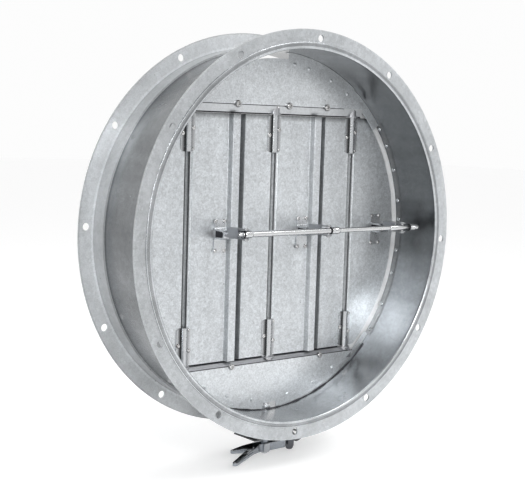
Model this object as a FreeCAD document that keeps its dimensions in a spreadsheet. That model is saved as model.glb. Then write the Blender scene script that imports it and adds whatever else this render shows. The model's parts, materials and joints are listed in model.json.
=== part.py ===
import FreeCAD, Part
import math
import os

import Sketcher

# Round volume control damper: a flanged sheet-metal casing with three parallel vertical blades,
# joined by a link rod and turned by a forked hand lever below the casing.
# Frame: +Z up along the blade shafts, +Y from the front flange to the rear flange,
# origin at the centre of the front flange's face. Millimetres.

doc = FreeCAD.newDocument("round_damper")
sheet = doc.addObject("Spreadsheet::Sheet", "sizes")

SIZES = [
    # casing and flanges
    ("bore_radius", 300.0, "inner radius of the casing"),
    ("casing_length", 160.0, "front flange face to rear flange face"),
    ("axle_setback", 66.0, "blades in front of the rear flange face"),
    ("axle_depth", "=casing_length - axle_setback", "depth of the shaft centres and of the blades' front face"),
    ("casing_sheet", 1.2, "casing wall"),
    ("lip_width", 8.0, "casing edge turned over the flange face"),
    ("lip_bend", 1.6, "visible bend radius of the turned edge"),
    ("flange_leg", 30.0, "both legs of the flange angle"),
    ("flange_steel", 3.0, "thickness of the flange angle"),
    ("flange_fit", 0.1, "gap between casing wall and flange angle"),
    ("bolt_circle_rise", 18.0, "bolt circle outside the casing bore"),
    ("bolt_circle_radius", "=bore_radius + bolt_circle_rise", "flange bolt circle"),
    ("bolt_hole_radius", 6.0, "clearance hole for an M10 bolt"),
    ("bolt_count", 12, "bolts in each flange"),
    ("bolt_phase", 2.5, "turn of the first hole from the top, degrees"),
    # fixed plates and bearing strips
    ("plate_sheet", 1.2, "fixed plates, strips and rings"),
    ("plate_setback", 10.0, "fixed plates in front of the blades"),
    ("plate_face", "=axle_depth - plate_setback", "depth of the fixed plates' front face"),
    ("plate_margin", 12.0, "round edges of plates and blades to the bore"),
    ("plate_radius", "=bore_radius - plate_margin", "round edge of the fixed plates"),
    ("top_edge", 211.0, "lower edge of the top plate"),
    ("bottom_edge", 218.0, "upper edge of the bottom plate, below the centre"),
    ("top_shelf", 198.0, "under face of the top bearing shelf"),
    ("bottom_shelf", 212.0, "upper face of the bottom bearing shelf, below the centre"),
    ("shelf_depth", 22.0, "depth of each bearing strip"),
    ("strip_slant", 6.0, "set-back of the slanted part of a strip"),
    ("strip_clearance", 0.4, "blade end to the strip's rear leg"),
    ("strip_overlap", 12.0, "strip hidden behind its plate"),
    ("strip_gap", 6.0, "strip end to casing wall"),
    # rings that carry the plates and stop the blades
    ("ring_width", 25.0, "width of the plate rings"),
    ("ring_bore", "=bore_radius - ring_width", "inner radius of the plate rings"),
    ("stop_width", 20.0, "width of the stop arcs"),
    ("stop_bore", "=bore_radius - stop_width", "inner radius of the stop arcs"),
    ("corner_width", 16.0, "width of the upper corner plates"),
    ("corner_bore", "=bore_radius - corner_width", "inner radius of the upper corner plates"),
    ("low_corner_width", 10.0, "width of the lower corner plates"),
    ("low_corner_bore", "=bore_radius - low_corner_width", "inner radius of the lower corner plates"),
    ("ring_fit", 0.3, "ring to casing wall"),
    ("ring_rim", 9.0, "width of a ring's rim along the casing"),
    ("stop_gap", 0.3, "blade to stop arc"),
    # blades
    ("blade_sheet", 1.2, "blade thickness"),
    ("blade_pitch", 175.0, "distance between blade shafts"),
    ("blade_top", 195.5, "upper end of the blades"),
    ("blade_bottom", 209.0, "lower end of the blades, below the centre"),
    ("blade_radius", "=bore_radius - plate_margin", "round edge of the outer blades"),
    ("hem_start", 80.0, "shaft to the foot of the raised edge"),
    ("hem_rise", 84.0, "shaft to the crest of the raised edge"),
    ("hem_end", 97.4, "shaft to the end of the raised edge"),
    ("hem_height", 9.0, "raised edge in front of the blade"),
    ("tail_start", 61.0, "shaft to the crest before the set-back edge"),
    ("tail_foot", 64.0, "shaft to the foot of the set-back edge"),
    ("tail_end", 86.0, "shaft to the end of the set-back edge"),
    ("tail_drop", 8.5, "set-back edge behind the blade"),
    # shafts, saddles and bushes
    ("axle_radius", 5.0, "stub shafts and drive shaft"),
    ("axle_seat", 0.1, "shaft to groove and saddle"),
    ("saddle_length", 62.0, "length of a saddle"),
    ("saddle_flange", 7.5, "flange beside the saddle's ridge"),
    ("bush_radius", 8.0, "bush barrel"),
    ("bush_flange_radius", 11.5, "bush flange"),
    ("bush_flange", 1.8, "thickness of the bush flange"),
    ("bush_length", 9.0, "whole length of a bush"),
    ("bush_fit", 0.06, "shaft in bush, radial"),
    ("stub_reach", 4.0, "stub beyond its bush"),
    # rivets
    ("rivet_radius", 3.8, "rivet head"),
    ("rivet_height", 2.2, "rivet head height"),
    # link brackets, forks and rod
    ("link_offset", 66.0, "shaft to link pivot across the blade"),
    ("link_setback", 70.0, "link pivots in front of the blades"),
    ("link_depth", "=axle_depth - link_setback", "depth of the link pivots"),
    ("link_level", 6.5, "height of the rod's centre"),
    ("bracket_level", -2.0, "middle between a bracket's upper and lower rivets"),
    ("nose_level", 1.6, "height of the bracket nose's middle"),
    ("bracket_width", 22.0, "width of the bracket strip"),
    ("bracket_steel", 2.5, "thickness of the bracket strip"),
    ("bracket_reach", 28.0, "nose of the bracket in front of the blade"),
    ("bracket_slot", 10.8, "open height inside the nose"),
    ("bracket_height", 54.0, "height of the bracket with its feet"),
    ("bracket_rivet_rise", 24.0, "bracket middle to rivets, upwards"),
    ("bracket_rivet_side", 9.0, "bracket middle to rivets, sideways"),
    ("fork_half_width", 6.0, "half width of the fork"),
    ("fork_gap", 13.6, "clear height inside the fork"),
    ("fork_steel", 1.4, "thickness of the fork"),
    ("fork_wall_start", 12.0, "pivot to the start of the fork's side wall"),
    ("fork_rivet_radius", 2.0, "rivet that holds the fork on the bracket"),
    ("fork_rivet_head", 3.0, "head of that rivet"),
    ("fork_rivet_level", 3.4, "height of that rivet"),
    ("bar_seat", 0.05, "fixed bar in its bore, radial"),
    ("pin_radius", 2.5, "pivot pin"),
    ("pivot_fit", 0.08, "pin in the middle fork, radial"),
    ("open_pivot_fit", 0.3, "pin in the outer forks, radial"),
    ("pin_head_radius", 4.2, "pin head"),
    ("pin_head", 1.6, "pin head height"),
    ("rod_radius", 5.0, "thick part of the link rod"),
    ("thin_rod_radius", 4.2, "thin part of the link rod"),
    ("block_radius", 6.5, "clamp collar on the rod"),
    ("stub_start", 14.0, "rod's thin left end beyond the left pivot"),
    ("stub_radius", 3.4, "rod's thin left end"),
    ("rod_start", 6.0, "thick part of the rod beyond the left pivot"),
    ("rod_step", 6.1, "middle pivot to the rod's change of radius"),
    ("rod_end", 38.0, "rod beyond the right pivot"),
    ("left_ring", -6.0, "left pivot to its dark ring"),
    ("left_clamp", -3.0, "left pivot to its clamp collar"),
    ("left_clamp_length", 15.0, "left clamp collar"),
    ("middle_ring", 2.9, "middle pivot to its dark ring"),
    ("middle_clamp", 6.1, "middle pivot to its clamp collar"),
    ("middle_clamp_length", 18.0, "middle clamp collar"),
    ("right_ring", 15.0, "right pivot to its washer"),
    ("right_clamp", 18.0, "right pivot to the rod's end nut"),
    ("right_clamp_length", 13.0, "end nut"),
    ("nut_radius", 5.6, "end nut"),
    ("collar_width", 2.8, "rings on the rod"),
    ("sleeve_start", 31.4, "sleeve before the right pivot"),
    ("sleeve_length", 46.2, "sleeve at the right pivot"),
    ("block_gap", 0.3, "pin heads to the fork's ears"),
    ("collar_radius", 6.3, "dark ring"),
    ("sleeve_radius", 5.2, "sleeve near the right pivot"),
    # lever, quadrant and lock
    ("gland_radius", 11.0, "bearing flange under the casing"),
    ("gland_height", 10.0, "bearing below the casing"),
    ("quadrant_top", 345.0, "upper face of the quadrant plate, below the centre"),
    ("quadrant_sheet", 2.0, "quadrant steel"),
    ("quadrant_radius", 64.0, "round edge of the quadrant plate"),
    ("quadrant_left", 42.0, "shaft to the straight left edge"),
    ("quadrant_notch", 18.0, "shaft to the right edge of the notch in the plate's front"),
    ("quadrant_front", 26.0, "shaft to the plate's front edge beside the slot"),
    ("quadrant_rear", 32.0, "shaft to the straight rear edge"),
    ("quadrant_leg", 38.0, "shaft to the outside of a leg"),
    ("quadrant_leg_width", 60.0, "width of a leg"),
    ("quadrant_foot", 14.0, "foot of a leg on the casing"),
    ("lock_radius", 56.0, "shaft to lock bolt"),
    ("lock_bolt_radius", 4.0, "lock bolt"),
    ("slot_fit", 0.5, "lock bolt in its slot"),
    ("open_angle", 55.0, "blade travel, degrees"),
    ("slot_spare", 4.0, "slot beyond the travel at each end, degrees"),
    ("lever_steel", 2.0, "lever sheet"),
    ("lever_half_width", 9.0, "half width of the lever channel"),
    ("lever_bottom", 373.0, "under face of the lever, below the centre"),
    ("lever_wall", 13.0, "height of the lever channel"),
    ("lever_gap", 0.3, "lever hub and lock spacer to quadrant plate"),
    ("tongue_level", 360.5, "under face of the lock tongue, below the centre"),
    ("prong_level", 370.5, "under face of the prongs, below the centre"),
    ("prong_steel", 4.0, "height of a prong"),
    ("spacer_radius", 6.5, "spacer on the lock bolt"),
    ("lever_left", 19.0, "channel left of the shaft"),
    ("lever_right", 39.0, "channel right of the shaft"),
    ("tongue_end", 65.0, "tongue right of the shaft"),
    ("prong_width", 8.0, "width of a prong"),
    ("hub_radius", 9.0, "lever hub"),
    ("band_width", 12.0, "clamp band"),
    ("band_steel", 1.5, "clamp band"),
    ("shaft_end", 6.0, "drive shaft below the lever"),
    ("lock_nut_radius", 8.0, "round lock nut"),
    ("lock_nut_height", 18.5, "round lock nut"),
]

for row, (alias, number, note) in enumerate(SIZES, start=1):
    sheet.set("A%d" % row, note)
    sheet.set("B%d" % row, str(number))
    sheet.setAlias("B%d" % row, alias)
doc.recompute()

Vector = FreeCAD.Vector
ALONG_X = Vector(1, 0, 0)
ALONG_Y = Vector(0, 1, 0)
ALONG_Z = Vector(0, 0, 1)
NODES = []


def size(alias):
    """Value of one driving dimension."""
    return float(sheet.get(alias))


def value(expression):
    """Number that an expression over the sheet gives now."""
    result = sheet.evalExpression(expression)
    return float(getattr(result, "Value", result))


def keep(shape_object, label):
    """Name a finished sub-part and list it for export."""
    shape_object.Label = label
    NODES.append(shape_object)
    return shape_object


# Helpers for sketches whose every coordinate is an expression over the sheet

def new_body(label):
    body = doc.addObject("PartDesign::Body", label)
    return keep(body, label)


def origin_feature(body, role):
    for feature in body.Origin.OriginFeatures:
        if feature.Role == role:
            return feature
    raise ValueError(role)


def new_sketch(body, name, plane, offset=None):
    sketch = body.newObject("Sketcher::SketchObject", name)
    sketch.AttachmentSupport = (origin_feature(body, plane), [""])
    sketch.MapMode = "FlatFace"
    if offset:
        sketch.setExpression("AttachmentOffset.Base.z", offset)
    return sketch


def bind(sketch, kind, places, expression, name):
    """One dimension of the sketch tied to an expression."""
    index = sketch.addConstraint(Sketcher.Constraint(kind, *places, value(expression)))
    sketch.renameConstraint(index, name)
    sketch.setExpression("Constraints." + name, expression)


def pin_point(sketch, geometry, vertex, across, up, name):
    bind(sketch, "DistanceX", (-1, 1, geometry, vertex), across, name + "_across")
    bind(sketch, "DistanceY", (-1, 1, geometry, vertex), up, name + "_up")


def outline(sketch, points):
    """Closed straight-sided outline; points are pairs of expressions."""
    first = sketch.GeometryCount
    numbers = [Vector(value(across), value(up), 0) for across, up in points]
    count = len(points)
    for index in range(count):
        ends = numbers[index], numbers[(index + 1) % count]
        sketch.addGeometry(Part.LineSegment(*ends), False)
    for index in range(count):
        follower = first + (index + 1) % count
        sketch.addConstraint(Sketcher.Constraint("Coincident", first + index, 2, follower, 1))
    for index, (across, up) in enumerate(points):
        pin_point(sketch, first + index, 1, across, up, "p%d" % (first + index))


def circle(sketch, across, up, radius, name):
    centre = Vector(value(across), value(up), 0)
    index = sketch.addGeometry(Part.Circle(centre, ALONG_Z, value(radius)), False)
    pin_point(sketch, index, 3, across, up, name)
    bind(sketch, "Radius", (index,), radius, name + "_radius")


def pad(body, sketch, length, name, both_ways=False, backwards=False):
    feature = body.newObject("PartDesign::Pad", name)
    feature.Profile = sketch
    feature.setExpression("Length", length)
    if both_ways:
        feature.Midplane = True
    feature.Reversed = backwards
    sketch.Visibility = False
    body.Tip = feature
    doc.recompute()
    return feature


def pocket(body, sketch, name, both_ways=True):
    feature = body.newObject("PartDesign::Pocket", name)
    feature.Profile = sketch
    feature.Type = "ThroughAll"
    feature.Midplane = both_ways
    body.Tip = feature
    doc.recompute()
    return feature


def revolve(body, sketch, name, axis="H_Axis", angle=None):
    feature = body.newObject("PartDesign::Revolution", name)
    feature.Profile = sketch
    feature.ReferenceAxis = (sketch, [axis])
    feature.Angle = 360.0
    if angle:
        feature.setExpression("Angle", angle)
    body.Tip = feature
    doc.recompute()
    return feature


def round_edges(body, base, places, radius, name, tolerance=0.02):
    """Fillet the edges of base whose middle lies at one of the places."""
    chosen = []
    for index, edge in enumerate(base.Shape.Edges, start=1):
        middle = edge.BoundBox.Center
        for place in places:
            if (middle - place).Length < tolerance:
                chosen.append("Edge%d" % index)
    feature = body.newObject("PartDesign::Fillet", name)
    feature.Base = (base, chosen)
    feature.setExpression("Radius", radius)
    body.Tip = feature
    doc.recompute()
    return feature


def cut_by(base, tools, label):
    """Keep base with the tools taken away, as a boolean of document objects."""
    NODES.remove(base)
    base.Label = label + "_blank"
    current = base
    for index, tool in enumerate(tools):
        step = doc.addObject("Part::Cut", "%s_cut_%d" % (label, index))
        step.Base = current
        step.Tool = tool
        current = step
    doc.recompute()
    return keep(current, label)


def rod_tool(name, radius, length, across, depth, height, axis=ALONG_Z):
    """Plain round bar, used as a tool or as a piece; it starts at the given point."""
    bar = doc.addObject("Part::Cylinder", name)
    bar.setExpression("Radius", radius)
    bar.setExpression("Height", length)
    bar.Placement = FreeCAD.Placement(Vector(0, 0, 0), FreeCAD.Rotation(ALONG_Z, axis))
    bar.setExpression("Placement.Base.x", across)
    bar.setExpression("Placement.Base.y", depth)
    bar.setExpression("Placement.Base.z", height)
    return bar


def box_piece(name, low, extent):
    """Plain box from its low corner and its extent, all expressions."""
    box = doc.addObject("Part::Box", name)
    for prop, expression in zip(("Length", "Width", "Height"), extent):
        box.setExpression(prop, expression)
    for prop, expression in zip("xyz", low):
        box.setExpression("Placement.Base." + prop, expression)
    return box


def fuse(pieces, label):
    joined = doc.addObject("Part::MultiFuse", label)
    joined.Shapes = pieces
    joined.Refine = True
    doc.recompute()
    return keep(joined, label)


def gather(pieces, label):
    """Like pieces drawn one by one, kept as separate solids of one node."""
    for piece in pieces:
        NODES.remove(piece)
        piece.Label = piece.Label + "_single"
    together = doc.addObject("Part::Compound", label)
    together.Links = pieces
    doc.recompute()
    return keep(together, label)


def group(solids, label):
    """Like fasteners of one node, as separate solids."""
    feature = doc.addObject("Part::Feature", label)
    feature.Shape = Part.makeCompound(solids)
    return keep(feature, label)


# Casing and flanges

def make_casing():
    body = new_body("casing_shell")
    profile = new_sketch(body, "casing_profile", "YZ_Plane")
    outer = "sizes.bore_radius + sizes.casing_sheet"
    lip = outer + " + sizes.lip_width"
    front, rear = "-sizes.casing_sheet", "sizes.casing_length + sizes.casing_sheet"
    outline(profile, [
        (front, "sizes.bore_radius"), (front, lip), ("0", lip), ("0", outer),
        ("sizes.casing_length", outer), ("sizes.casing_length", lip), (rear, lip),
        (rear, "sizes.bore_radius"),
    ])
    shell = revolve(body, profile, "casing_turn")
    ends = [Vector(0, value(front), 0), Vector(0, value(rear), 0)]
    bend = body.newObject("PartDesign::Fillet", "casing_bend")
    chosen = []
    for index, edge in enumerate(shell.Shape.Edges, start=1):
        curve = edge.Curve
        if isinstance(curve, Part.Circle) and abs(curve.Radius - size("bore_radius")) < 0.01:
            if min((curve.Center - end).Length for end in ends) < 0.01:
                chosen.append("Edge%d" % index)
    bend.Base = (shell, chosen)
    bend.setExpression("Radius", "sizes.lip_bend * 0.7")
    body.Tip = bend
    doc.recompute()
    hole = new_sketch(body, "shaft_hole", "XY_Plane")
    circle(hole, "0", "sizes.axle_depth", "sizes.bush_radius + sizes.flange_fit", "gland")
    drill = body.newObject("PartDesign::Pocket", "shaft_drill")
    drill.Profile = hole
    drill.Type = "ThroughAll"
    drill.Reversed = False
    body.Tip = drill
    doc.recompute()


def make_flange(label, face, inward):
    """Angle ring; face is the depth of its bolting face, inward points to the casing's middle."""
    body = new_body(label)
    profile = new_sketch(body, label + "_profile", "YZ_Plane")
    root = "sizes.bore_radius + sizes.casing_sheet + sizes.flange_fit"
    tip = root + " + sizes.flange_leg"
    heel = root + " + sizes.flange_steel"
    behind = face + inward + "sizes.flange_steel"
    leg_end = face + inward + "sizes.flange_leg"
    outline(profile, [
        (face, root), (face, tip), (behind, tip), (behind, heel), (leg_end, heel), (leg_end, root),
    ])
    revolve(body, profile, label + "_turn")
    hole = new_sketch(body, label + "_hole", "XZ_Plane")
    across = "-sizes.bolt_circle_radius * sin(sizes.bolt_phase * 1deg) * -1"
    up = "sizes.bolt_circle_radius * cos(sizes.bolt_phase * 1deg)"
    circle(hole, across, up, "sizes.bolt_hole_radius", "bolt")
    drilled = pocket(body, hole, label + "_drill")
    pattern = body.newObject("PartDesign::PolarPattern", label + "_holes")
    pattern.Originals = [drilled]
    pattern.Axis = (origin_feature(body, "Y_Axis"), [""])
    pattern.Angle = 360.0
    pattern.setExpression("Occurrences", "sizes.bolt_count")
    body.Tip = pattern
    doc.recompute()


# Fixed plates and bearing strips

def make_plate(label, edge, upward):
    """Flat circle segment; edge is the height of its straight side."""
    body = new_body(label)
    face = new_sketch(body, label + "_outline", "XZ_Plane", "-sizes.plate_face")
    sign = 1 if upward else -1
    radius = size("plate_radius")
    level = value(edge)
    reach = math.sqrt(radius ** 2 - level ** 2)
    start, end = math.atan2(level, reach), math.atan2(level, -reach)
    if not upward:
        start, end = end, start
    ring = Part.Circle(Vector(0, 0, 0), ALONG_Z, radius)
    arc = face.addGeometry(Part.ArcOfCircle(ring, start, end), False)
    left, right = Vector(-reach, level, 0), Vector(reach, level, 0)
    chord = [left, right] if upward else [right, left]
    line = face.addGeometry(Part.LineSegment(*chord), False)
    face.addConstraint(Sketcher.Constraint("Coincident", arc, 3, -1, 1))
    face.addConstraint(Sketcher.Constraint("Coincident", arc, 2, line, 1))
    face.addConstraint(Sketcher.Constraint("Coincident", line, 2, arc, 1))
    bind(face, "Radius", (arc,), "sizes.plate_radius", "rim")
    bind(face, "DistanceY", (-1, 1, line, 1), edge, "edge_start")
    face.addConstraint(Sketcher.Constraint("Horizontal", line))
    pad(body, face, "sizes.plate_sheet", label + "_sheet", backwards=True)
    return sign


def make_strip(label, shelf, edge, up):
    """Folded strip behind a plate's edge: it slants back to a shelf that carries the bushes."""
    body = new_body(label)
    section = new_sketch(body, label + "_section", "YZ_Plane")
    away = " + " if up else " - "
    front = "sizes.plate_face + sizes.plate_sheet"
    inside = front + " + sizes.plate_sheet"
    knee = front + " + sizes.strip_slant"
    rear = front + " + sizes.shelf_depth"
    top = edge + away + "sizes.strip_overlap"
    shelf_back = shelf + away + "sizes.plate_sheet"
    blade_end = "sizes.blade_top" if up else "-sizes.blade_bottom"
    leg_end = blade_end + away + "sizes.strip_clearance"
    outline(section, [
        (front, top), (front, edge), (knee, shelf), (rear + " - sizes.plate_sheet", shelf),
        (rear + " - sizes.plate_sheet", leg_end), (rear, leg_end), (rear, shelf_back),
        (knee + " + 0.6 * sizes.plate_sheet", shelf_back),
        (inside, edge + away + "0.5 * sizes.plate_sheet"), (inside, top),
    ])
    half = "(sqrt(sizes.bore_radius ^ 2 - (%s) ^ 2) - sizes.strip_gap)" % top
    pad(body, section, "2 * " + half, label + "_fold", both_ways=True)
    holes = new_sketch(body, label + "_holes", "XY_Plane")
    for index in (-1, 0, 1):
        place = "%d * sizes.blade_pitch" % index
        circle(holes, place, "sizes.axle_depth", "sizes.bush_radius + sizes.flange_fit", "bush%d" % (index + 1))
    pocket(body, holes, label + "_bush_holes")


def make_ring(label, section, start, sweep):
    """Rolled angle on the casing wall, from start degrees clockwise off the top."""
    body = new_body(label)
    profile = new_sketch(body, label + "_profile", "YZ_Plane")
    outline(profile, section)
    revolve(body, profile, label + "_roll", angle=sweep)
    body.Placement = FreeCAD.Placement(Vector(0, 0, 0), FreeCAD.Rotation(ALONG_Y, 0))
    body.setExpression("Placement.Rotation.Angle", start)
    doc.recompute()


def ring_section(bore, leg_front):
    """Angle section: a radial leg with its front face at leg_front and a rim behind it."""
    outer = "sizes.bore_radius - sizes.ring_fit"
    inner = outer + " - sizes.plate_sheet"
    leg_back = leg_front + " + sizes.plate_sheet"
    rim_end = leg_back + " + sizes.ring_rim"
    return [(leg_front, bore), (leg_back, bore), (leg_back, inner), (rim_end, inner),
            (rim_end, outer), (leg_front, outer)]


def make_rings():
    carrier = ring_section("sizes.ring_bore", "sizes.plate_face + sizes.plate_sheet")
    make_ring("top_ring_right", carrier, "4", "31")
    make_ring("top_ring_left", carrier, "-35", "24")
    make_ring("bottom_ring_right", carrier, "147", "27")
    make_ring("bottom_ring_left", carrier, "186", "27")
    behind = "sizes.axle_depth + sizes.blade_sheet + sizes.stop_gap"
    make_ring("right_stop_arc", ring_section("sizes.stop_bore", behind), "35.5", "102.5")
    before = "sizes.axle_depth - sizes.stop_gap - sizes.plate_sheet"
    make_ring("left_stop_arc", ring_section("sizes.stop_bore", before), "225", "99")
    corners = []
    for name, bore, start in (("right_top", "sizes.corner_bore", "35.5"), ("left_top", "sizes.corner_bore", "308"),
                              ("right_bottom", "sizes.low_corner_bore", "130"),
                              ("left_bottom", "sizes.low_corner_bore", "213.5")):
        near = "sizes.plate_face + 4"
        far = near + " + sizes.plate_sheet"
        outer = "sizes.bore_radius - sizes.ring_fit"
        make_ring(name + "_corner", [(near, bore), (far, bore), (far, outer), (near, outer)], start, "16.5")
        corners.append(NODES[-1])
    gather(corners, "corner_plates")


# Blades

def half_round(radius, face, side, first):
    """Six-cornered half round about the shaft, started on the side that first points to."""
    shares = ((1.0, 0.268), (0.732, 0.732), (0.268, 1.0), (-0.268, 1.0), (-0.732, 0.732), (-1.0, 0.268))
    return [("%g * (%s)" % (first * across, radius), "%s %s %g * (%s)" % (face, side, deep, radius))
            for across, deep in shares]


def blade_section(left_round, right_round):
    """Outline of one blade's cross-section about its shaft, as expressions."""
    face, back = "sizes.axle_depth", "sizes.axle_depth + sizes.blade_sheet"
    groove = "sizes.axle_radius + sizes.axle_seat"
    points = []
    if right_round:
        right_front = [("sizes.blade_radius", face)]
        right_back = [("sizes.blade_radius", back)]
    else:
        right_front = [
            ("sizes.hem_start", face),
            ("sizes.hem_rise", face + " - sizes.hem_height"),
            ("sizes.hem_end", face + " - sizes.hem_height"),
        ]
        right_back = [
            ("sizes.hem_end", back + " - sizes.hem_height"),
            ("sizes.hem_rise + sizes.blade_sheet", back + " - sizes.hem_height"),
            ("sizes.hem_start + sizes.blade_sheet", back),
        ]
    if left_round:
        left_back = [("-sizes.blade_radius", back)]
        left_front = [("-sizes.blade_radius", face)]
    else:
        left_back = [
            ("-(sizes.tail_start - sizes.blade_sheet)", back),
            ("-(sizes.tail_foot - sizes.blade_sheet)", back + " + sizes.tail_drop"),
            ("-sizes.tail_end", back + " + sizes.tail_drop"),
        ]
        left_front = [
            ("-sizes.tail_end", face + " + sizes.tail_drop"),
            ("-sizes.tail_foot", face + " + sizes.tail_drop"),
            ("-sizes.tail_start", face),
        ]
    points += left_front
    points += [("-(%s)" % groove, face)] + half_round(groove, face, "+", -1) + [(groove, face)]
    points += right_front
    points += right_back
    shell = groove + " + sizes.blade_sheet"
    points += [(shell, back)] + half_round(shell, face, "+", 1) + [("-(%s)" % shell, back)]
    points += left_back
    return points


def make_blade(index, left_round, right_round):
    label = "blade_%d" % (index + 2)
    body = new_body(label)
    section = new_sketch(body, label + "_section", "XY_Plane", "-sizes.blade_bottom")
    outline(section, blade_section(left_round, right_round))
    pad(body, section, "sizes.blade_bottom + sizes.blade_top", label + "_sheet")
    shift = "%d * sizes.blade_pitch" % index
    body.setExpression("Placement.Base.x", shift)
    doc.recompute()
    if left_round or right_round:
        NODES.remove(body)
        body.Label = label + "_blank"
        disc = rod_tool(label + "_rim", "sizes.blade_radius", "sizes.casing_length", "0", "0", "0", ALONG_Y)
        trimmed = doc.addObject("Part::Common", label)
        trimmed.Base = body
        trimmed.Tool = disc
        doc.recompute()
        keep(trimmed, label)


def saddle_section():
    face = "sizes.axle_depth"
    bore = "sizes.axle_radius + sizes.axle_seat"
    crest = "%s + sizes.blade_sheet" % bore
    edge = "%s + sizes.saddle_flange" % crest
    front = face + " - sizes.blade_sheet"
    points = [("-(%s)" % edge, face), ("-(%s)" % bore, face)]
    points += half_round(bore, face, "-", -1)
    points += [(bore, face), (edge, face), (edge, front), (crest, front)]
    points += half_round(crest, face, "-", 1)
    points += [("-(%s)" % crest, front), ("-(%s)" % edge, front)]
    return points


def make_saddle(index, upper):
    label = "blade_%d_%s_saddle" % (index + 2, "top" if upper else "bottom")
    body = new_body(label)
    low = "sizes.blade_top - sizes.saddle_length" if upper else "-sizes.blade_bottom"
    section = new_sketch(body, label + "_section", "XY_Plane", low)
    outline(section, saddle_section())
    pad(body, section, "sizes.saddle_length", label + "_sheet")
    body.setExpression("Placement.Base.x", "%d * sizes.blade_pitch" % index)
    doc.recompute()


def make_stub(index, upper):
    label = "blade_%d_%s_stub" % (index + 2, "top" if upper else "bottom")
    inner = "sizes.saddle_length - 4"
    if upper:
        low = "sizes.blade_top - (%s)" % inner
        length = "sizes.top_shelf - sizes.blade_top + sizes.bush_length + sizes.stub_reach + (%s)" % inner
    else:
        low = "-(sizes.bottom_shelf + sizes.bush_length + sizes.stub_reach)"
        length = "sizes.bottom_shelf + sizes.bush_length + sizes.stub_reach - sizes.blade_bottom + (%s)" % inner
    across = "%d * sizes.blade_pitch" % index
    bar = rod_tool(label, "sizes.axle_radius", length, across, "sizes.axle_depth", low)
    keep(bar, label)


def make_drive_shaft():
    low = "-(sizes.lever_bottom + sizes.shaft_end)"
    length = "sizes.lever_bottom + sizes.shaft_end - sizes.blade_bottom + sizes.saddle_length - 4"
    bar = rod_tool("drive_shaft", "sizes.axle_radius", length, "0", "sizes.axle_depth", low)
    keep(bar, "drive_shaft")


def rivet_head(place, towards):
    """Domed rivet head seated at place, with its crown towards the viewer's side."""
    radius, height = size("rivet_radius"), size("rivet_height")
    base = Part.makeCylinder(radius, height * 0.35)
    dome = Part.makeCone(radius, radius * 0.45, height * 0.65, Vector(0, 0, height * 0.35))
    head = base.fuse(dome).removeSplitter()
    head.Placement = FreeCAD.Placement(place, FreeCAD.Rotation(ALONG_Z, towards))
    return head


def make_blade_rivets(index):
    """Saddle rivets, staggered left and right of the ridge, and the bracket's four rivets."""
    across = index * size("blade_pitch")
    face = size("axle_depth")
    front = face - size("blade_sheet")
    side = size("axle_radius") + size("axle_seat") + size("blade_sheet") + size("saddle_flange") * 0.5
    top, bottom = size("blade_top"), -size("blade_bottom")
    length = size("saddle_length")
    heads = []
    for share, direction in ((0.54, -1), (0.40, 1), (0.93, 1)):
        heads.append(rivet_head(Vector(across + direction * side, front, top - share * length), -ALONG_Y))
        heads.append(rivet_head(Vector(across + direction * side, front, bottom + share * length), -ALONG_Y))
    pad_face = face - size("bracket_steel")
    middle = across + size("link_offset")
    for up in (-1, 1):
        for aside in (-1, 1):
            spot = Vector(middle + aside * size("bracket_rivet_side"), pad_face,
                          size("bracket_level") + up * size("bracket_rivet_rise"))
            heads.append(rivet_head(spot, -ALONG_Y))
    group(heads, "blade_%d_rivets" % (index + 2))


# Bushes

def make_bush(index, upper):
    label = "%s_bush_%d" % ("top" if upper else "bottom", index + 2)
    body = new_body(label)
    section = new_sketch(body, label + "_section", "XZ_Plane")
    bore = "sizes.axle_radius + sizes.bush_fit"
    if upper:
        face, sign = "sizes.top_shelf", "+"
        flange_end = face + " - sizes.bush_flange"
    else:
        face, sign = "-sizes.bottom_shelf", "-"
        flange_end = face + " + sizes.bush_flange"
    barrel_end = face + sign + "sizes.bush_length"
    outline(section, [
        (bore, flange_end), ("sizes.bush_flange_radius", flange_end), ("sizes.bush_flange_radius", face),
        ("sizes.bush_radius", face), ("sizes.bush_radius", barrel_end), (bore, barrel_end),
    ])
    revolve(body, section, label + "_turn", axis="V_Axis")
    body.setExpression("Placement.Base.x", "%d * sizes.blade_pitch" % index)
    body.setExpression("Placement.Base.y", "sizes.axle_depth")
    doc.recompute()
    return body


def make_gland():
    """Flanged bearing that guides the drive shaft through the bottom of the casing."""
    body = new_body("casing_bearing")
    section = new_sketch(body, "casing_bearing_section", "XZ_Plane")
    bore = "sizes.axle_radius + sizes.bush_fit"
    wall = "-(sizes.bore_radius + sizes.casing_sheet + sizes.ring_fit)"
    end = wall + " - sizes.gland_height"
    inside = "-(sizes.bore_radius - sizes.gland_height * 0.5)"
    outline(section, [
        (bore, inside), ("sizes.bush_radius", inside), ("sizes.bush_radius", wall),
        ("sizes.gland_radius", wall), ("sizes.gland_radius", end), (bore, end),
    ])
    revolve(body, section, "casing_bearing_turn", axis="V_Axis")
    body.setExpression("Placement.Base.y", "sizes.axle_depth")
    doc.recompute()


# Link brackets, eyes and rod

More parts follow.
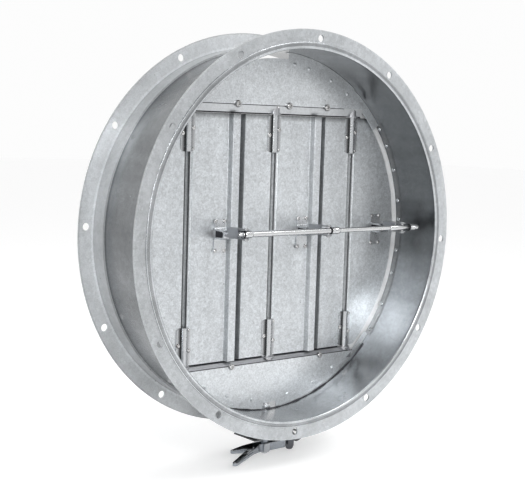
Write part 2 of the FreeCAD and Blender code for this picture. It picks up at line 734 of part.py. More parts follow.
def make_bracket(index):
    """Strip folded into a long-nosed hat, riveted to the blade by its two feet."""
    label = "link_bracket_%d" % (index + 2)
    body = new_body(label)
    section = new_sketch(body, label + "_section", "YZ_Plane")
    face = "sizes.axle_depth"
    foot = face + " - sizes.bracket_steel"
    nose = face + " - sizes.bracket_reach"
    nose_in = nose + " + sizes.bracket_steel"
    middle = "sizes.nose_level"
    half_in = "sizes.bracket_slot / 2"
    half_out = "sizes.bracket_slot / 2 + sizes.bracket_steel"
    high = "sizes.bracket_level + sizes.bracket_height / 2"
    low = "sizes.bracket_level - sizes.bracket_height / 2"

    def at(depth, sign, half):
        return (depth, "%s %s (%s)" % (middle, sign, half))

    outline(section, [
        (face, high), at(face, "+", half_in), at(nose_in, "+", half_in), at(nose_in, "-", half_in),
        at(face, "-", half_in), (face, low), (foot, low), at(foot, "-", half_out),
        at(nose, "-", half_out), at(nose, "+", half_out), at(foot, "+", half_out), (foot, high),
    ])
    strip = pad(body, section, "sizes.bracket_width", label + "_fold", both_ways=True)

    def corner(depth, sign, half):
        return Vector(0, value(depth), value(middle) + sign * value(half))

    outer = [corner(nose, sign, half_out) for sign in (-1, 1)]
    strip = round_edges(body, strip, outer, "sizes.bracket_slot / 2 + sizes.bracket_steel * 0.6", label + "_nose")
    inner = [corner(nose_in, sign, half_in) for sign in (-1, 1)]
    strip = round_edges(body, strip, inner, "sizes.bracket_slot / 2 - sizes.bracket_steel * 0.4", label + "_throat")
    flare = [corner(face, sign, half_in) for sign in (-1, 1)]
    strip = round_edges(body, strip, flare, "sizes.bracket_steel * 2", label + "_flare")
    root = [corner(foot, sign, half_out) for sign in (-1, 1)]
    round_edges(body, strip, root, "sizes.bracket_steel", label + "_root")
    hole = new_sketch(body, label + "_hole", "XZ_Plane", "-(%s)" % nose_in)
    circle(hole, "0", "sizes.fork_rivet_level", "sizes.fork_rivet_radius + sizes.bar_seat", "stud")
    cut = body.newObject("PartDesign::Pocket", label + "_stud_hole")
    cut.Profile = hole
    cut.setExpression("Length", "sizes.bracket_steel * 3")
    cut.Midplane = True
    body.Tip = cut
    body.setExpression("Placement.Base.x", "%d * sizes.blade_pitch + sizes.link_offset" % index)
    doc.recompute()


def make_fork(index):
    """Channel from the bracket's nose to the rod: two ears above and below the rod, a web and a side wall."""
    label = "link_fork_%d" % (index + 2)
    across = "%d * sizes.blade_pitch + sizes.link_offset" % index
    left = across + " - sizes.fork_half_width"
    web = "sizes.axle_depth - sizes.bracket_reach - sizes.fork_steel"
    low = "sizes.link_level - sizes.fork_gap / 2 - sizes.fork_steel"
    high = "sizes.link_level + sizes.fork_gap / 2"
    tall = "sizes.fork_gap + 2 * sizes.fork_steel"
    long = web + " + sizes.fork_steel - sizes.link_depth"
    pieces = []
    for name, level in (("lower", low), ("upper", high)):
        pieces.append(box_piece("%s_%s_ear" % (label, name), (left, "sizes.link_depth", level),
                                ("2 * sizes.fork_half_width", long, "sizes.fork_steel")))
        pieces.append(rod_tool("%s_%s_end" % (label, name), "sizes.fork_half_width", "sizes.fork_steel",
                               across, "sizes.link_depth", level))
    pieces.append(box_piece(label + "_web", (left, web, low), ("2 * sizes.fork_half_width", "sizes.fork_steel", tall)))
    pieces.append(box_piece(label + "_wall", (left, "sizes.link_depth + sizes.fork_wall_start", low),
                            ("sizes.fork_steel", long + " - sizes.fork_wall_start", tall)))
    blank = fuse(pieces, label + "_blank")
    fit = "sizes.pivot_fit" if index == 0 else "sizes.open_pivot_fit"
    bore = rod_tool(label + "_bore", "sizes.pin_radius + " + fit, tall + " + 2", across, "sizes.link_depth", low + " - 1")
    hole = rod_tool(label + "_hole", "sizes.fork_rivet_radius + sizes.bar_seat", "3 * sizes.fork_steel",
                    across, web + " - sizes.fork_steel", "sizes.fork_rivet_level", ALONG_Y)
    cut_by(blank, [bore, hole], label)


def make_fork_rivet(index):
    """Rivet through the fork's web and the bracket's nose, headed in front and peened behind."""
    across = index * size("blade_pitch") + size("link_offset")
    front = size("axle_depth") - size("bracket_reach") - size("fork_steel")
    back = size("axle_depth") - size("bracket_reach") + size("bracket_steel")
    level = size("fork_rivet_level")
    shank = Part.makeCylinder(size("fork_rivet_radius"), back - front + 1.0, Vector(across, front, level), ALONG_Y)
    head = Part.makeCylinder(size("fork_rivet_head"), 1.8, Vector(across, front, level), -ALONG_Y)
    return shank.fuse(head).removeSplitter()


def make_rod():
    left = "-sizes.blade_pitch + sizes.link_offset"
    right = "sizes.blade_pitch + sizes.link_offset"
    depth, level = "sizes.link_depth", "sizes.link_level"
    step = "sizes.link_offset + sizes.rod_step"
    start = "%s - sizes.rod_start" % left
    stub = rod_tool("rod_stub", "sizes.stub_radius", "sizes.stub_start - sizes.rod_start",
                    "%s - sizes.stub_start" % left, depth, level, ALONG_X)
    thick = rod_tool("rod_thick", "sizes.rod_radius", "(%s) - (%s)" % (step, start), start, depth, level, ALONG_X)
    end = "%s + sizes.rod_end" % right
    thin = rod_tool("rod_thin", "sizes.thin_rod_radius", "(%s) - (%s)" % (end, step), step, depth, level, ALONG_X)
    blank = fuse([stub, thick, thin], "rod_blank")
    holes = []
    for index in (-1, 0, 1):
        across = "%d * sizes.blade_pitch + sizes.link_offset" % index
        holes.append(rod_tool("rod_pin_hole_%d" % (index + 2), "sizes.pin_radius + sizes.bar_seat", "40",
                              across, depth, level + " - 20"))
    cut_by(blank, holes, "link_rod")
    sleeve_start = right + " - sizes.sleeve_start"
    sleeve = rod_tool("rod_sleeve_blank", "sizes.sleeve_radius", "sizes.sleeve_length", sleeve_start, depth, level, ALONG_X)
    keep(sleeve, "rod_sleeve")
    bore = rod_tool("rod_sleeve_bore", "sizes.thin_rod_radius + sizes.bar_seat", "sizes.sleeve_length",
                    sleeve_start, depth, level, ALONG_X)
    pin = rod_tool("rod_sleeve_pin_hole", "sizes.pin_radius + sizes.bar_seat", "40", right, depth, level + " - 20")
    cut_by(sleeve, [bore, pin], "rod_sleeve")


def tube(name, outer, inner, start, length, pivot):
    """Ring on the rod with a hole for the pivot pin where it reaches the pivot."""
    depth, level = "sizes.link_depth", "sizes.link_level"
    blank = rod_tool(name + "_blank", outer, length, start, depth, level, ALONG_X)
    keep(blank, name)
    bore = rod_tool(name + "_bore", inner, length, start, depth, level, ALONG_X)
    pin = rod_tool(name + "_pin_hole", "sizes.pin_radius + sizes.bar_seat", "40", pivot, depth, level + " - 20")
    return cut_by(blank, [bore, pin], name)


def make_block(index):
    """Clamp collar and ring on the rod at a pivot, and the pivot pin."""
    number = index + 2
    side = ("left", "middle", "right")[index + 1]
    pivot = "%d * sizes.blade_pitch + sizes.link_offset" % index
    seat = " + sizes.bar_seat"
    ring_inner = ("sizes.thin_rod_radius" if index > 0 else "sizes.rod_radius") + seat
    clamp_inner = ("sizes.rod_radius" if index < 0 else "sizes.thin_rod_radius") + seat
    clamp_outer = "sizes.nut_radius" if index > 0 else "sizes.block_radius"
    collar = tube("rod_ring_%d" % number, "sizes.collar_radius", ring_inner,
                  "%s + sizes.%s_ring" % (pivot, side), "sizes.collar_width", pivot)
    block = tube("rod_clamp_%d" % number, clamp_outer, clamp_inner,
                 "%s + sizes.%s_clamp" % (pivot, side), "sizes.%s_clamp_length" % side, pivot)
    low = "sizes.link_level - sizes.fork_gap / 2 - sizes.fork_steel - sizes.block_gap"
    reach = "sizes.fork_gap + 2 * sizes.fork_steel + 2 * sizes.block_gap"
    shank = rod_tool("pin_%d_shank" % number, "sizes.pin_radius", reach, pivot, "sizes.link_depth", low)
    foot = rod_tool("pin_%d_foot" % number, "sizes.pin_head_radius", "sizes.pin_head",
                    pivot, "sizes.link_depth", low + " - sizes.pin_head")
    head = rod_tool("pin_%d_head" % number, "sizes.pin_head_radius", "sizes.pin_head",
                    pivot, "sizes.link_depth", low + " + " + reach)
    return block, collar, fuse([shank, foot, head], "pivot_pin_%d" % number)


# Quadrant, lever and lock

def make_quadrant():
    """Slotted quadrant plate on two legs whose feet follow the casing."""
    steel = size("quadrant_sheet")
    top = -size("quadrant_top")
    depth = size("axle_depth")
    centre = Vector(0, depth, top - steel)
    radius = size("quadrant_radius")
    plate = Part.makeCylinder(radius, steel, centre)
    left, rear = size("quadrant_left"), size("quadrant_rear")
    frame = Part.makeBox(left + radius, radius + rear, steel, Vector(-left, depth - radius, top - steel))
    plate = plate.common(frame)
    plate = plate.cut(Part.makeBox(left + size("quadrant_notch"), radius, steel,
                                   Vector(-left, depth - size("quadrant_front") - radius, top - steel)))
    slot_half = size("lock_bolt_radius") + size("slot_fit")
    lock = size("lock_radius")
    sweep = size("open_angle") + 2 * size("slot_spare")
    start = -size("open_angle") - size("slot_spare")
    wide = Part.makeCylinder(lock + slot_half, steel, centre, ALONG_Z, sweep)
    narrow = Part.makeCylinder(lock - slot_half, steel, centre, ALONG_Z, sweep)
    slot = wide.cut(narrow)
    slot.rotate(centre, ALONG_Z, start)
    for angle in (start, start + sweep):
        turn = math.radians(angle)
        spot = centre + Vector(lock * math.cos(turn), lock * math.sin(turn), 0)
        slot = slot.fuse(Part.makeCylinder(slot_half, steel, spot))
    plate = plate.cut(slot)
    casing = size("bore_radius") + size("casing_sheet") + size("flange_fit")
    leg_width = size("quadrant_leg_width")
    leg_low = depth + rear - leg_width
    outer_skin = Part.makeCylinder(casing + steel, leg_width, Vector(0, leg_low, 0), ALONG_Y)
    inner_skin = Part.makeCylinder(casing, leg_width, Vector(0, leg_low, 0), ALONG_Y)
    foot_skin = outer_skin.cut(inner_skin)
    parts = [plate]
    leg_out = size("quadrant_leg")
    foot = size("quadrant_foot")
    for side in (-1, 1):
        inner_edge = min(side * leg_out, side * (leg_out - steel))
        leg = Part.makeBox(steel, leg_width, size("quadrant_top") - casing * 0.9,
                           Vector(inner_edge, leg_low, top))
        leg = leg.cut(inner_skin)
        foot_low = side * leg_out if side > 0 else -leg_out - foot
        zone = Part.makeBox(foot, leg_width, casing, Vector(foot_low, leg_low, -1.1 * casing))
        parts += [leg, foot_skin.common(zone)]
    bracket = parts[0].multiFuse(parts[1:]).removeSplitter()
    hub = Part.makeCylinder(size("bush_radius") + size("flange_fit"), 3 * steel,
                            centre - Vector(0, 0, steel))
    feature = doc.addObject("Part::Feature", "quadrant_bracket")
    feature.Shape = bracket.cut(hub)
    keep(feature, "quadrant_bracket")


def make_quadrant_bush():
    body = new_body("quadrant_bush")
    section = new_sketch(body, "quadrant_bush_section", "XZ_Plane")
    bore = "sizes.axle_radius + sizes.bush_fit"
    top = "-sizes.quadrant_top"
    rim = top + " + sizes.bush_flange"
    end = top + " - sizes.quadrant_sheet"
    outline(section, [
        (bore, rim), ("sizes.bush_flange_radius", rim), ("sizes.bush_flange_radius", top),
        ("sizes.bush_radius", top), ("sizes.bush_radius", end), (bore, end),
    ])
    revolve(body, section, "quadrant_bush_turn", axis="V_Axis")
    body.setExpression("Placement.Base.y", "sizes.axle_depth")
    doc.recompute()


def prong(root, tip, width, steel):
    """Flat tapering finger with a round, holed end."""
    along = tip - root
    along.normalize()
    side = Vector(-along.y, along.x, 0)
    wide, narrow = width * 0.62, width * 0.5
    corners = [root + side * wide, tip + side * narrow, tip - side * narrow, root - side * wide]
    blade = Part.Face(Part.makePolygon(corners + [corners[0]])).extrude(Vector(0, 0, steel))
    finger = blade.fuse(Part.makeCylinder(narrow, steel, tip)).fuse(Part.makeCylinder(wide, steel, root))
    return finger.cut(Part.makeCylinder(narrow * 0.4, steel, tip))


def make_lever():
    """Hand lever: open channel on the shaft, forked grip on the left, lock tongue on the right."""
    steel = size("lever_steel")
    depth = size("axle_depth")
    half = size("lever_half_width")
    low = -size("lever_bottom")
    wall = size("lever_wall")
    left, right = size("lever_left"), size("lever_right")
    web = Part.makeBox(left + right, 2 * half, steel, Vector(-left, depth - half, low))
    front = Part.makeBox(left + right, steel, wall, Vector(-left, depth - half, low))
    rear = Part.makeBox(left + right, steel, wall, Vector(-left, depth + half - steel, low))
    tongue_low = -size("tongue_level")
    end_plate = Part.makeBox(steel, 2 * half, tongue_low + steel - low, Vector(right - steel, depth - half, low))
    tongue_length = size("tongue_end") - right + steel
    tongue = Part.makeBox(tongue_length, 2 * half, steel, Vector(right - steel, depth - half, tongue_low))
    hub_top = -size("quadrant_top") - size("quadrant_sheet") - size("lever_gap")
    hub = Part.makeCylinder(size("hub_radius") - steel - 0.5, hub_top - low, Vector(0, depth, low))
    grip = -size("prong_level")
    high = size("prong_steel")
    crotch = Vector(-38, depth - 10, grip)
    width = size("prong_width")
    neck_points = [
        Vector(-left + 2, depth + half, grip), crotch + Vector(0, width, 0),
        crotch - Vector(4, width, 0), Vector(-left + 2, depth - half, grip),
    ]
    neck = Part.Face(Part.makePolygon(neck_points + [neck_points[0]])).extrude(Vector(0, 0, high))
    upper = prong(crotch + Vector(2, 4, 0), Vector(-64, depth + 5, grip), width, high)
    lower = prong(crotch + Vector(2, -3, 0), Vector(-104, depth - 53, grip), width, high)
    body = web.multiFuse([front, rear, end_plate, tongue, hub, neck, upper, lower]).removeSplitter()
    seat = size("bar_seat")
    shaft = Part.makeCylinder(size("axle_radius") + seat, 60, Vector(0, depth, low - 1))
    lock = Part.makeCylinder(size("lock_bolt_radius") + seat, 3 * steel,
                             Vector(size("lock_radius"), depth, tongue_low - steel))
    feature = doc.addObject("Part::Feature", "hand_lever")
    feature.Shape = body.cut(shaft).cut(lock)
    keep(feature, "hand_lever")


def make_clamp_band():
    """Strap round the lever channel at the shaft."""
    steel = size("band_steel")
    depth = size("axle_depth")
    half = size("lever_half_width")
    low = -size("lever_bottom")
    width = size("band_width")
    wall = size("lever_wall")
    outer = Part.makeBox(width, 2 * (half + steel), wall + steel,
                         Vector(-width / 2 - 3, depth - half - steel, low - steel))
    inner = Part.makeBox(width, 2 * half, wall, Vector(-width / 2 - 3, depth - half, low))
    strap = outer.cut(inner)
    hole = Part.makeCylinder(size("axle_radius") + size("bar_seat"), 4 * steel, Vector(0, depth, low - 2 * steel))
    feature = doc.addObject("Part::Feature", "clamp_band")
    feature.Shape = strap.cut(hole)
    keep(feature, "clamp_band")


def make_lock():
    """Bolt that rides in the quadrant's slot, its spacer, and the round nut under the lever's tongue."""
    depth = size("axle_depth")
    across = size("lock_radius")
    radius = size("lock_bolt_radius")
    steel = size("lever_steel")
    top = -size("quadrant_top")
    under = -size("tongue_level")
    end = under - size("lock_nut_height") - 1.5
    head_low = top + size("lever_gap")
    shank = Part.makeCylinder(radius, head_low - end, Vector(across, depth, end))
    head = Part.makeCylinder(radius * 1.9, 3.0, Vector(across, depth, head_low))
    spacer_low = under + steel + 0.05
    spacer_high = top - size("quadrant_sheet") - size("lever_gap")
    spacer = Part.makeCylinder(size("spacer_radius"), spacer_high - spacer_low, Vector(across, depth, spacer_low))
    feature = doc.addObject("Part::Feature", "lock_bolt")
    feature.Shape = shank.fuse(head).fuse(spacer).removeSplitter()
    keep(feature, "lock_bolt")
    nut_top = under - 0.2
    rim = size("lock_nut_radius")
    height = size("lock_nut_height")
    barrel = Part.makeCylinder(rim, height * 0.7, Vector(across, depth, nut_top - height * 0.7))
    crown = Part.makeCone(rim, rim * 0.72, height * 0.3, Vector(across, depth, nut_top - height * 0.7), -ALONG_Z)
    nut = barrel.fuse(crown).removeSplitter()
    nut = nut.cut(Part.makeCylinder(radius + size("bush_fit"), height + 2,
                                    Vector(across, depth, nut_top - height - 1)))
    feature = doc.addObject("Part::Feature", "lock_nut")
    feature.Shape = nut
    keep(feature, "lock_nut")


# Fasteners that stay with the casing

def screw_head(place, towards, radius, height):
    """Flat round screw head with a bevelled crown."""
    base = Part.makeCylinder(radius, height * 0.6)
    crown = Part.makeCone(radius, radius * 0.7, height * 0.4, Vector(0, 0, height * 0.6))
    head = base.fuse(crown).removeSplitter()
    head.Placement = FreeCAD.Placement(place, FreeCAD.Rotation(ALONG_Z, towards))
    return head


def make_fixed_fasteners():
    face = size("plate_face")
    heads = []
    for across in (-85.8, 22.3, 106.6):
        heads.append(screw_head(Vector(across, face, size("top_edge")), -ALONG_Y, 6.0, 4.6))
    group(heads, "top_strip_screws")
    heads = []
    for across in (-84.6, 109.3):
        heads.append(screw_head(Vector(across, face, -size("bottom_edge")), -ALONG_Y, 5.4, 4.2))
    group(heads, "bottom_strip_screws")
    heads = []
    radius = (size("ring_bore") + size("plate_radius")) / 2
    for angle in (83.5, 77.0, 66.0, 57.0, 104.0, 112.0, 122.0, 241.0, 251.0, 262.0, 278.0, 290.0, 300.0):
        turn = math.radians(angle)
        heads.append(rivet_head(Vector(radius * math.cos(turn), face, radius * math.sin(turn)), -ALONG_Y))
    group(heads, "plate_rivets")
    heads = []
    for angle in (36.2, 29.6, 20.4, 9.4, 2.7, -8.2, -16.4, -28.0, -38.0):
        turn = math.radians(angle)
        inward = Vector(-math.cos(turn), 0, -math.sin(turn))
        seat = size("bore_radius") - size("bar_seat")
        spot = Vector(seat * math.cos(turn), face + 6, seat * math.sin(turn))
        heads.append(rivet_head(spot, inward))
    group(heads, "wall_rivets")


def build():
    make_casing()
    make_flange("front_flange", "0", " + ")
    make_flange("rear_flange", "sizes.casing_length", " - ")
    make_plate("top_plate", "sizes.top_edge", True)
    make_plate("bottom_plate", "-sizes.bottom_edge", False)
    make_strip("top_bearing_strip", "sizes.top_shelf", "sizes.top_edge", True)
    make_strip("bottom_bearing_strip", "-sizes.bottom_shelf", "-sizes.bottom_edge", False)
    make_rings()
    make_blade(-1, True, False)
    make_blade(0, False, False)
    make_blade(1, False, True)
    for index in (-1, 0, 1):
        make_saddle(index, True)
        make_saddle(index, False)
        make_stub(index, True)
        if index:
            make_stub(index, False)
        make_blade_rivets(index)
        make_bracket(index)
        make_fork(index)
    gather([make_bush(index, True) for index in (-1, 0, 1)], "top_bushes")
    gather([make_bush(index, False) for index in (-1, 0, 1)], "bottom_bushes")
    blocks = [make_block(index) for index in (-1, 0, 1)]
    gather([pieces[0] for pieces in blocks], "rod_clamps")
    gather([pieces[1] for pieces in blocks], "rod_rings")
    gather([pieces[2] for pieces in blocks], "pivot_pins")
    make_drive_shaft()
    make_gland()
    for index in (-1, 0, 1):
        group([make_fork_rivet(index)], "fork_rivet_%d" % (index + 2))
    make_rod()
    make_quadrant()
    make_quadrant_bush()
    make_lever()
    make_clamp_band()
    make_lock()
    make_fixed_fasteners()


def check_and_export():
    doc.recompute()
    for item in doc.Objects:
        if "Invalid" in item.State or "Error" in item.State:
            raise RuntimeError("%s failed: %s" % (item.Label, item.getStatusString()))
    for node in NODES:
        if node.Shape.isNull() or not node.Shape.isValid():
            raise RuntimeError("%s has no valid shape" % node.Label)
    os.makedirs("parts", exist_ok=True)
    for node in NODES:
        node.Shape.exportStep(os.path.join("parts", node.Label + ".step"))
    print("%d sub-parts" % len(NODES))


build()
check_and_export()
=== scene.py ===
import json
import math
import random

import bpy
from mathutils import Matrix, Vector


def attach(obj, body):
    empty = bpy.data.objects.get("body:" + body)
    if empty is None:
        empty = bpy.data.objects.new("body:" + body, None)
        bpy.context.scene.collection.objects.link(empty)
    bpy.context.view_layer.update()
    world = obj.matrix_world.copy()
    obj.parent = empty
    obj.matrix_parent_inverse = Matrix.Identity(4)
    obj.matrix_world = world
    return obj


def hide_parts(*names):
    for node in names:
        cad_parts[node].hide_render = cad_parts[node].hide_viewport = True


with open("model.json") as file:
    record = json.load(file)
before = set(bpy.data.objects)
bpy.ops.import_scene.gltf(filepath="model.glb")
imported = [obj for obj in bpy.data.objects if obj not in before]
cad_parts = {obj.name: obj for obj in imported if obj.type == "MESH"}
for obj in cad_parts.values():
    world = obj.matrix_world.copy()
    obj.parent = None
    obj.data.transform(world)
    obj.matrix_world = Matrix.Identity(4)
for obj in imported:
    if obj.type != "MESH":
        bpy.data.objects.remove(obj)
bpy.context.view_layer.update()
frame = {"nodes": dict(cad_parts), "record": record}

MM = 0.001

# Sizes in millimetres, the same as in the part
BORE, SHEET = 300.0, 1.2
LENGTH = 160.0
LIP = 10.0
PITCH = 175.0
AXLE = 94.0
BLADE_TOP, BLADE_BOTTOM = 195.5, -209.0
BLADE_RIM = 288.0
PLATE_FACE = 84.0
TOP_EDGE, BOTTOM_EDGE = 211.0, -218.0
TOP_SHELF, BOTTOM_SHELF = 197.95, -211.95
LINK_X, LINK_Y, LINK_Z = 66.0, 24.0, 6.5
BRACKET_Z = -2.0
SADDLE_LENGTH = 62.0
SADDLE_FOOT = 7.5
GROOVE = 5.1
RING_BORE = 276.0
PLATE_RIVET_CIRCLE = 281.5
FLANGE_REACH = 333.0
HALF_WIDTH = 330.0
FLOOR_LEVEL = -381.2
EVEN = (1, 1, 1)


# Materials

def node_tree(name):
    material = bpy.data.materials.new(name)
    material.use_nodes = True
    tree = material.node_tree
    tree.nodes.clear()
    output = tree.nodes.new("ShaderNodeOutputMaterial")
    shader = tree.nodes.new("ShaderNodeBsdfPrincipled")
    tree.links.new(shader.outputs[0], output.inputs[0])
    return material, tree, shader


def noise(tree, coordinates, scale, detail=3.0, roughness=0.55, stretch=(1, 1, 1)):
    mapping = tree.nodes.new("ShaderNodeMapping")
    mapping.inputs["Scale"].default_value = stretch
    tree.links.new(coordinates, mapping.inputs["Vector"])
    texture = tree.nodes.new("ShaderNodeTexNoise")
    texture.inputs["Scale"].default_value = scale
    texture.inputs["Detail"].default_value = detail
    texture.inputs["Roughness"].default_value = roughness
    tree.links.new(mapping.outputs[0], texture.inputs["Vector"])
    return texture.outputs["Fac"]


def ramp(tree, factor, stops):
    band = tree.nodes.new("ShaderNodeValToRGB")
    elements = band.color_ramp.elements
    while len(elements) < len(stops):
        elements.new(0.5)
    for element, (place, tone) in zip(elements, stops):
        element.position = place
        element.color = (tone, tone, tone, 1.0) if isinstance(tone, float) else (*tone, 1.0)
    tree.links.new(factor, band.inputs[0])
    return band.outputs[0]


def mix(tree, kind, factor, first, second):
    node = tree.nodes.new("ShaderNodeMix")
    node.data_type = "RGBA"
    node.blend_type = kind
    for socket, value in ((node.inputs[0], factor), (node.inputs[6], first), (node.inputs[7], second)):
        if isinstance(value, (int, float)):
            socket.default_value = value
        elif isinstance(value, tuple):
            socket.default_value = (*value, 1.0)
        else:
            tree.links.new(value, socket)
    return node.outputs[2]


def metal(name, colour, rough, spangle, streak, streak_stretch, blotch,
          grain, specks=0.0, stain=None, metallic=1.0, painted_shade=False, radial_light_and_shade=None, side_light=None):
    """Zinc-coated or plain steel: spangle, rolled streaks, cloudy tone, fine grain, specks and stains.

    The radial list holds painted highlight and painted shade tones by distance from the duct's axis; the side list
    holds painted light tones from left to right.
    """
    material, tree, shader = node_tree(name)
    place = tree.nodes.new("ShaderNodeTexCoord").outputs["Object"]
    shader.inputs["Metallic"].default_value = metallic
    cells = tree.nodes.new("ShaderNodeTexVoronoi")
    cells.inputs["Scale"].default_value = 190.0
    cells.inputs["Randomness"].default_value = 1.0
    tree.links.new(place, cells.inputs["Vector"])
    facets = ramp(tree, cells.outputs["Color"], [(0.0, 1.0 - spangle), (1.0, 1.0)])
    tone = mix(tree, "MULTIPLY", 1.0, colour, facets)
    bands = noise(tree, place, 14.0, 6.0, 0.6, streak_stretch)
    streaks = ramp(tree, bands, [(0.32, 1.0 - streak), (0.68, 1.0)])
    tone = mix(tree, "MULTIPLY", 1.0, tone, streaks)
    clouds = ramp(tree, noise(tree, place, 9.0, 4.0, 0.6), [(0.35, 1.0 - blotch), (0.65, 1.0)])
    tone = mix(tree, "MULTIPLY", 1.0, tone, clouds)
    fine = noise(tree, place, 420.0, 3.0, 0.75)
    tone = mix(tree, "MULTIPLY", 1.0, tone, ramp(tree, fine, [(0.3, 1.0 - grain), (0.7, 1.0)]))
    if specks:
        spots = tree.nodes.new("ShaderNodeTexVoronoi")
        spots.inputs["Scale"].default_value = 34.0
        tree.links.new(place, spots.inputs["Vector"])
        dots = ramp(tree, spots.outputs["Distance"], [(0.02, 0.25), (0.05, 1.0)])
        tone = mix(tree, "MULTIPLY", specks, tone, dots)
    if stain:
        patch = ramp(tree, noise(tree, place, 45.0, 5.0, 0.7), [(0.60, 0.0), (0.70, 1.0)])
        tone = mix(tree, "MIX", patch, tone, stain)
    # Painted shade: a per-point attribute set by the pieces darkens the colour, mostly in gaps, grooves, corners
    # and under edges
    if painted_shade:
        layer = tree.nodes.new("ShaderNodeAttribute")
        layer.attribute_name = "painted_shade"
        tone = mix(tree, "MULTIPLY", 1.0, tone, ramp(tree, layer.outputs["Fac"], [(0.0, 1.0), (1.0, 0.06)]))
    # Painted highlight lines and painted shade rings, by distance from the duct's axis
    if radial_light_and_shade:
        flat = tree.nodes.new("ShaderNodeVectorMath")
        flat.operation = "MULTIPLY"
        flat.inputs[1].default_value = (1.0, 0.0, 1.0)
        tree.links.new(place, flat.inputs[0])
        radius = tree.nodes.new("ShaderNodeVectorMath")
        radius.operation = "LENGTH"
        tree.links.new(flat.outputs[0], radius.inputs[0])
        reach = tree.nodes.new("ShaderNodeMapRange")
        reach.inputs["From Min"].default_value = BORE * MM
        reach.inputs["From Max"].default_value = FLANGE_REACH * MM
        tree.links.new(radius.outputs["Value"], reach.inputs["Value"])
        tone = mix(tree, "MULTIPLY", 1.0, tone, ramp(tree, reach.outputs[0], radial_light_and_shade))
    # Painted light: the tone rises from the left side to the right side
    if side_light:
        split = tree.nodes.new("ShaderNodeSeparateXYZ")
        tree.links.new(place, split.inputs[0])
        across = tree.nodes.new("ShaderNodeMapRange")
        across.inputs["From Min"].default_value = -HALF_WIDTH * MM
        across.inputs["From Max"].default_value = HALF_WIDTH * MM
        tree.links.new(split.outputs[0], across.inputs["Value"])
        tone = mix(tree, "MULTIPLY", 1.0, tone, ramp(tree, across.outputs[0], side_light))
    tree.links.new(tone, shader.inputs["Base Color"])
    roughs = ramp(tree, noise(tree, place, 26.0, 4.0, 0.6), [(0.3, rough * 0.85), (0.7, rough * 1.15)])
    tree.links.new(roughs, shader.inputs["Roughness"])
    relief = tree.nodes.new("ShaderNodeBump")
    relief.inputs["Strength"].default_value = 0.05
    relief.inputs["Distance"].default_value = 0.0006
    tree.links.new(noise(tree, place, 420.0, 3.0, 0.6), relief.inputs["Height"])
    tree.links.new(relief.outputs[0], shader.inputs["Normal"])
    return material


SKINS = {
    "casing_sheet": metal("casing_zinc", (0.84, 0.875, 0.905), 0.24, 0.16, 0.30, (1, 0.10, 1), 0.22, 0.16,
                          0.5, metallic=0.95, painted_shade=True),
    "flange_steel": metal("flange_zinc", (0.885, 0.92, 0.95), 0.36, 0.20, 0.16, EVEN, 0.16, 0.28, 0.7,
                          metallic=0.75),
    "plate_sheet": metal("plate_zinc", (0.865, 0.90, 0.93), 0.32, 0.16, 0.08, (0.4, 1, 2.0), 0.08, 0.36, 0.7,
                         metallic=0.8),
    "blade_sheet": metal("blade_zinc", (0.82, 0.855, 0.885), 0.37, 0.20, 0.10, (2.2, 1, 0.4), 0.08, 0.36, 0.7,
                         metallic=0.8, painted_shade=True),
    "strap_steel": metal("strap_zinc", (0.66, 0.68, 0.70), 0.26, 0.10, 0.14, (2, 1, 0.4), 0.12, 0.16,
                         metallic=0.9, painted_shade=True),
    "fasteners": metal("fastener_zinc", (0.60, 0.60, 0.60), 0.26, 0.05, 0.12, EVEN, 0.20, 0.10,
                       stain=(0.16, 0.13, 0.11)),
    "shaft_steel": metal("shaft_steel", (0.84, 0.85, 0.87), 0.26, 0.04, 0.18, (3, 3, 0.3), 0.12, 0.12,
                         stain=(0.20, 0.15, 0.12), metallic=0.5),
    "bush_metal": metal("bush_metal", (0.52, 0.53, 0.55), 0.30, 0.04, 0.10, EVEN, 0.15, 0.15,
                        stain=(0.14, 0.12, 0.11)),
    "rod_zinc": metal("rod_zinc", (0.68, 0.69, 0.70), 0.24, 0.03, 0.16, (0.3, 3, 3), 0.12, 0.10),
    "fork_steel": metal("fork_zinc", (0.40, 0.41, 0.43), 0.34, 0.05, 0.14, EVEN, 0.14, 0.10,
                        stain=(0.20, 0.17, 0.14)),
    "dark_steel": metal("dark_steel", (0.04, 0.04, 0.045), 0.42, 0.03, 0.10, EVEN, 0.15, 0.10),
    "lever_steel": metal("lever_zinc", (0.42, 0.45, 0.49), 0.28, 0.05, 0.16, (0.6, 1.4, 1), 0.22, 0.14,
                         painted_shade=True),
}
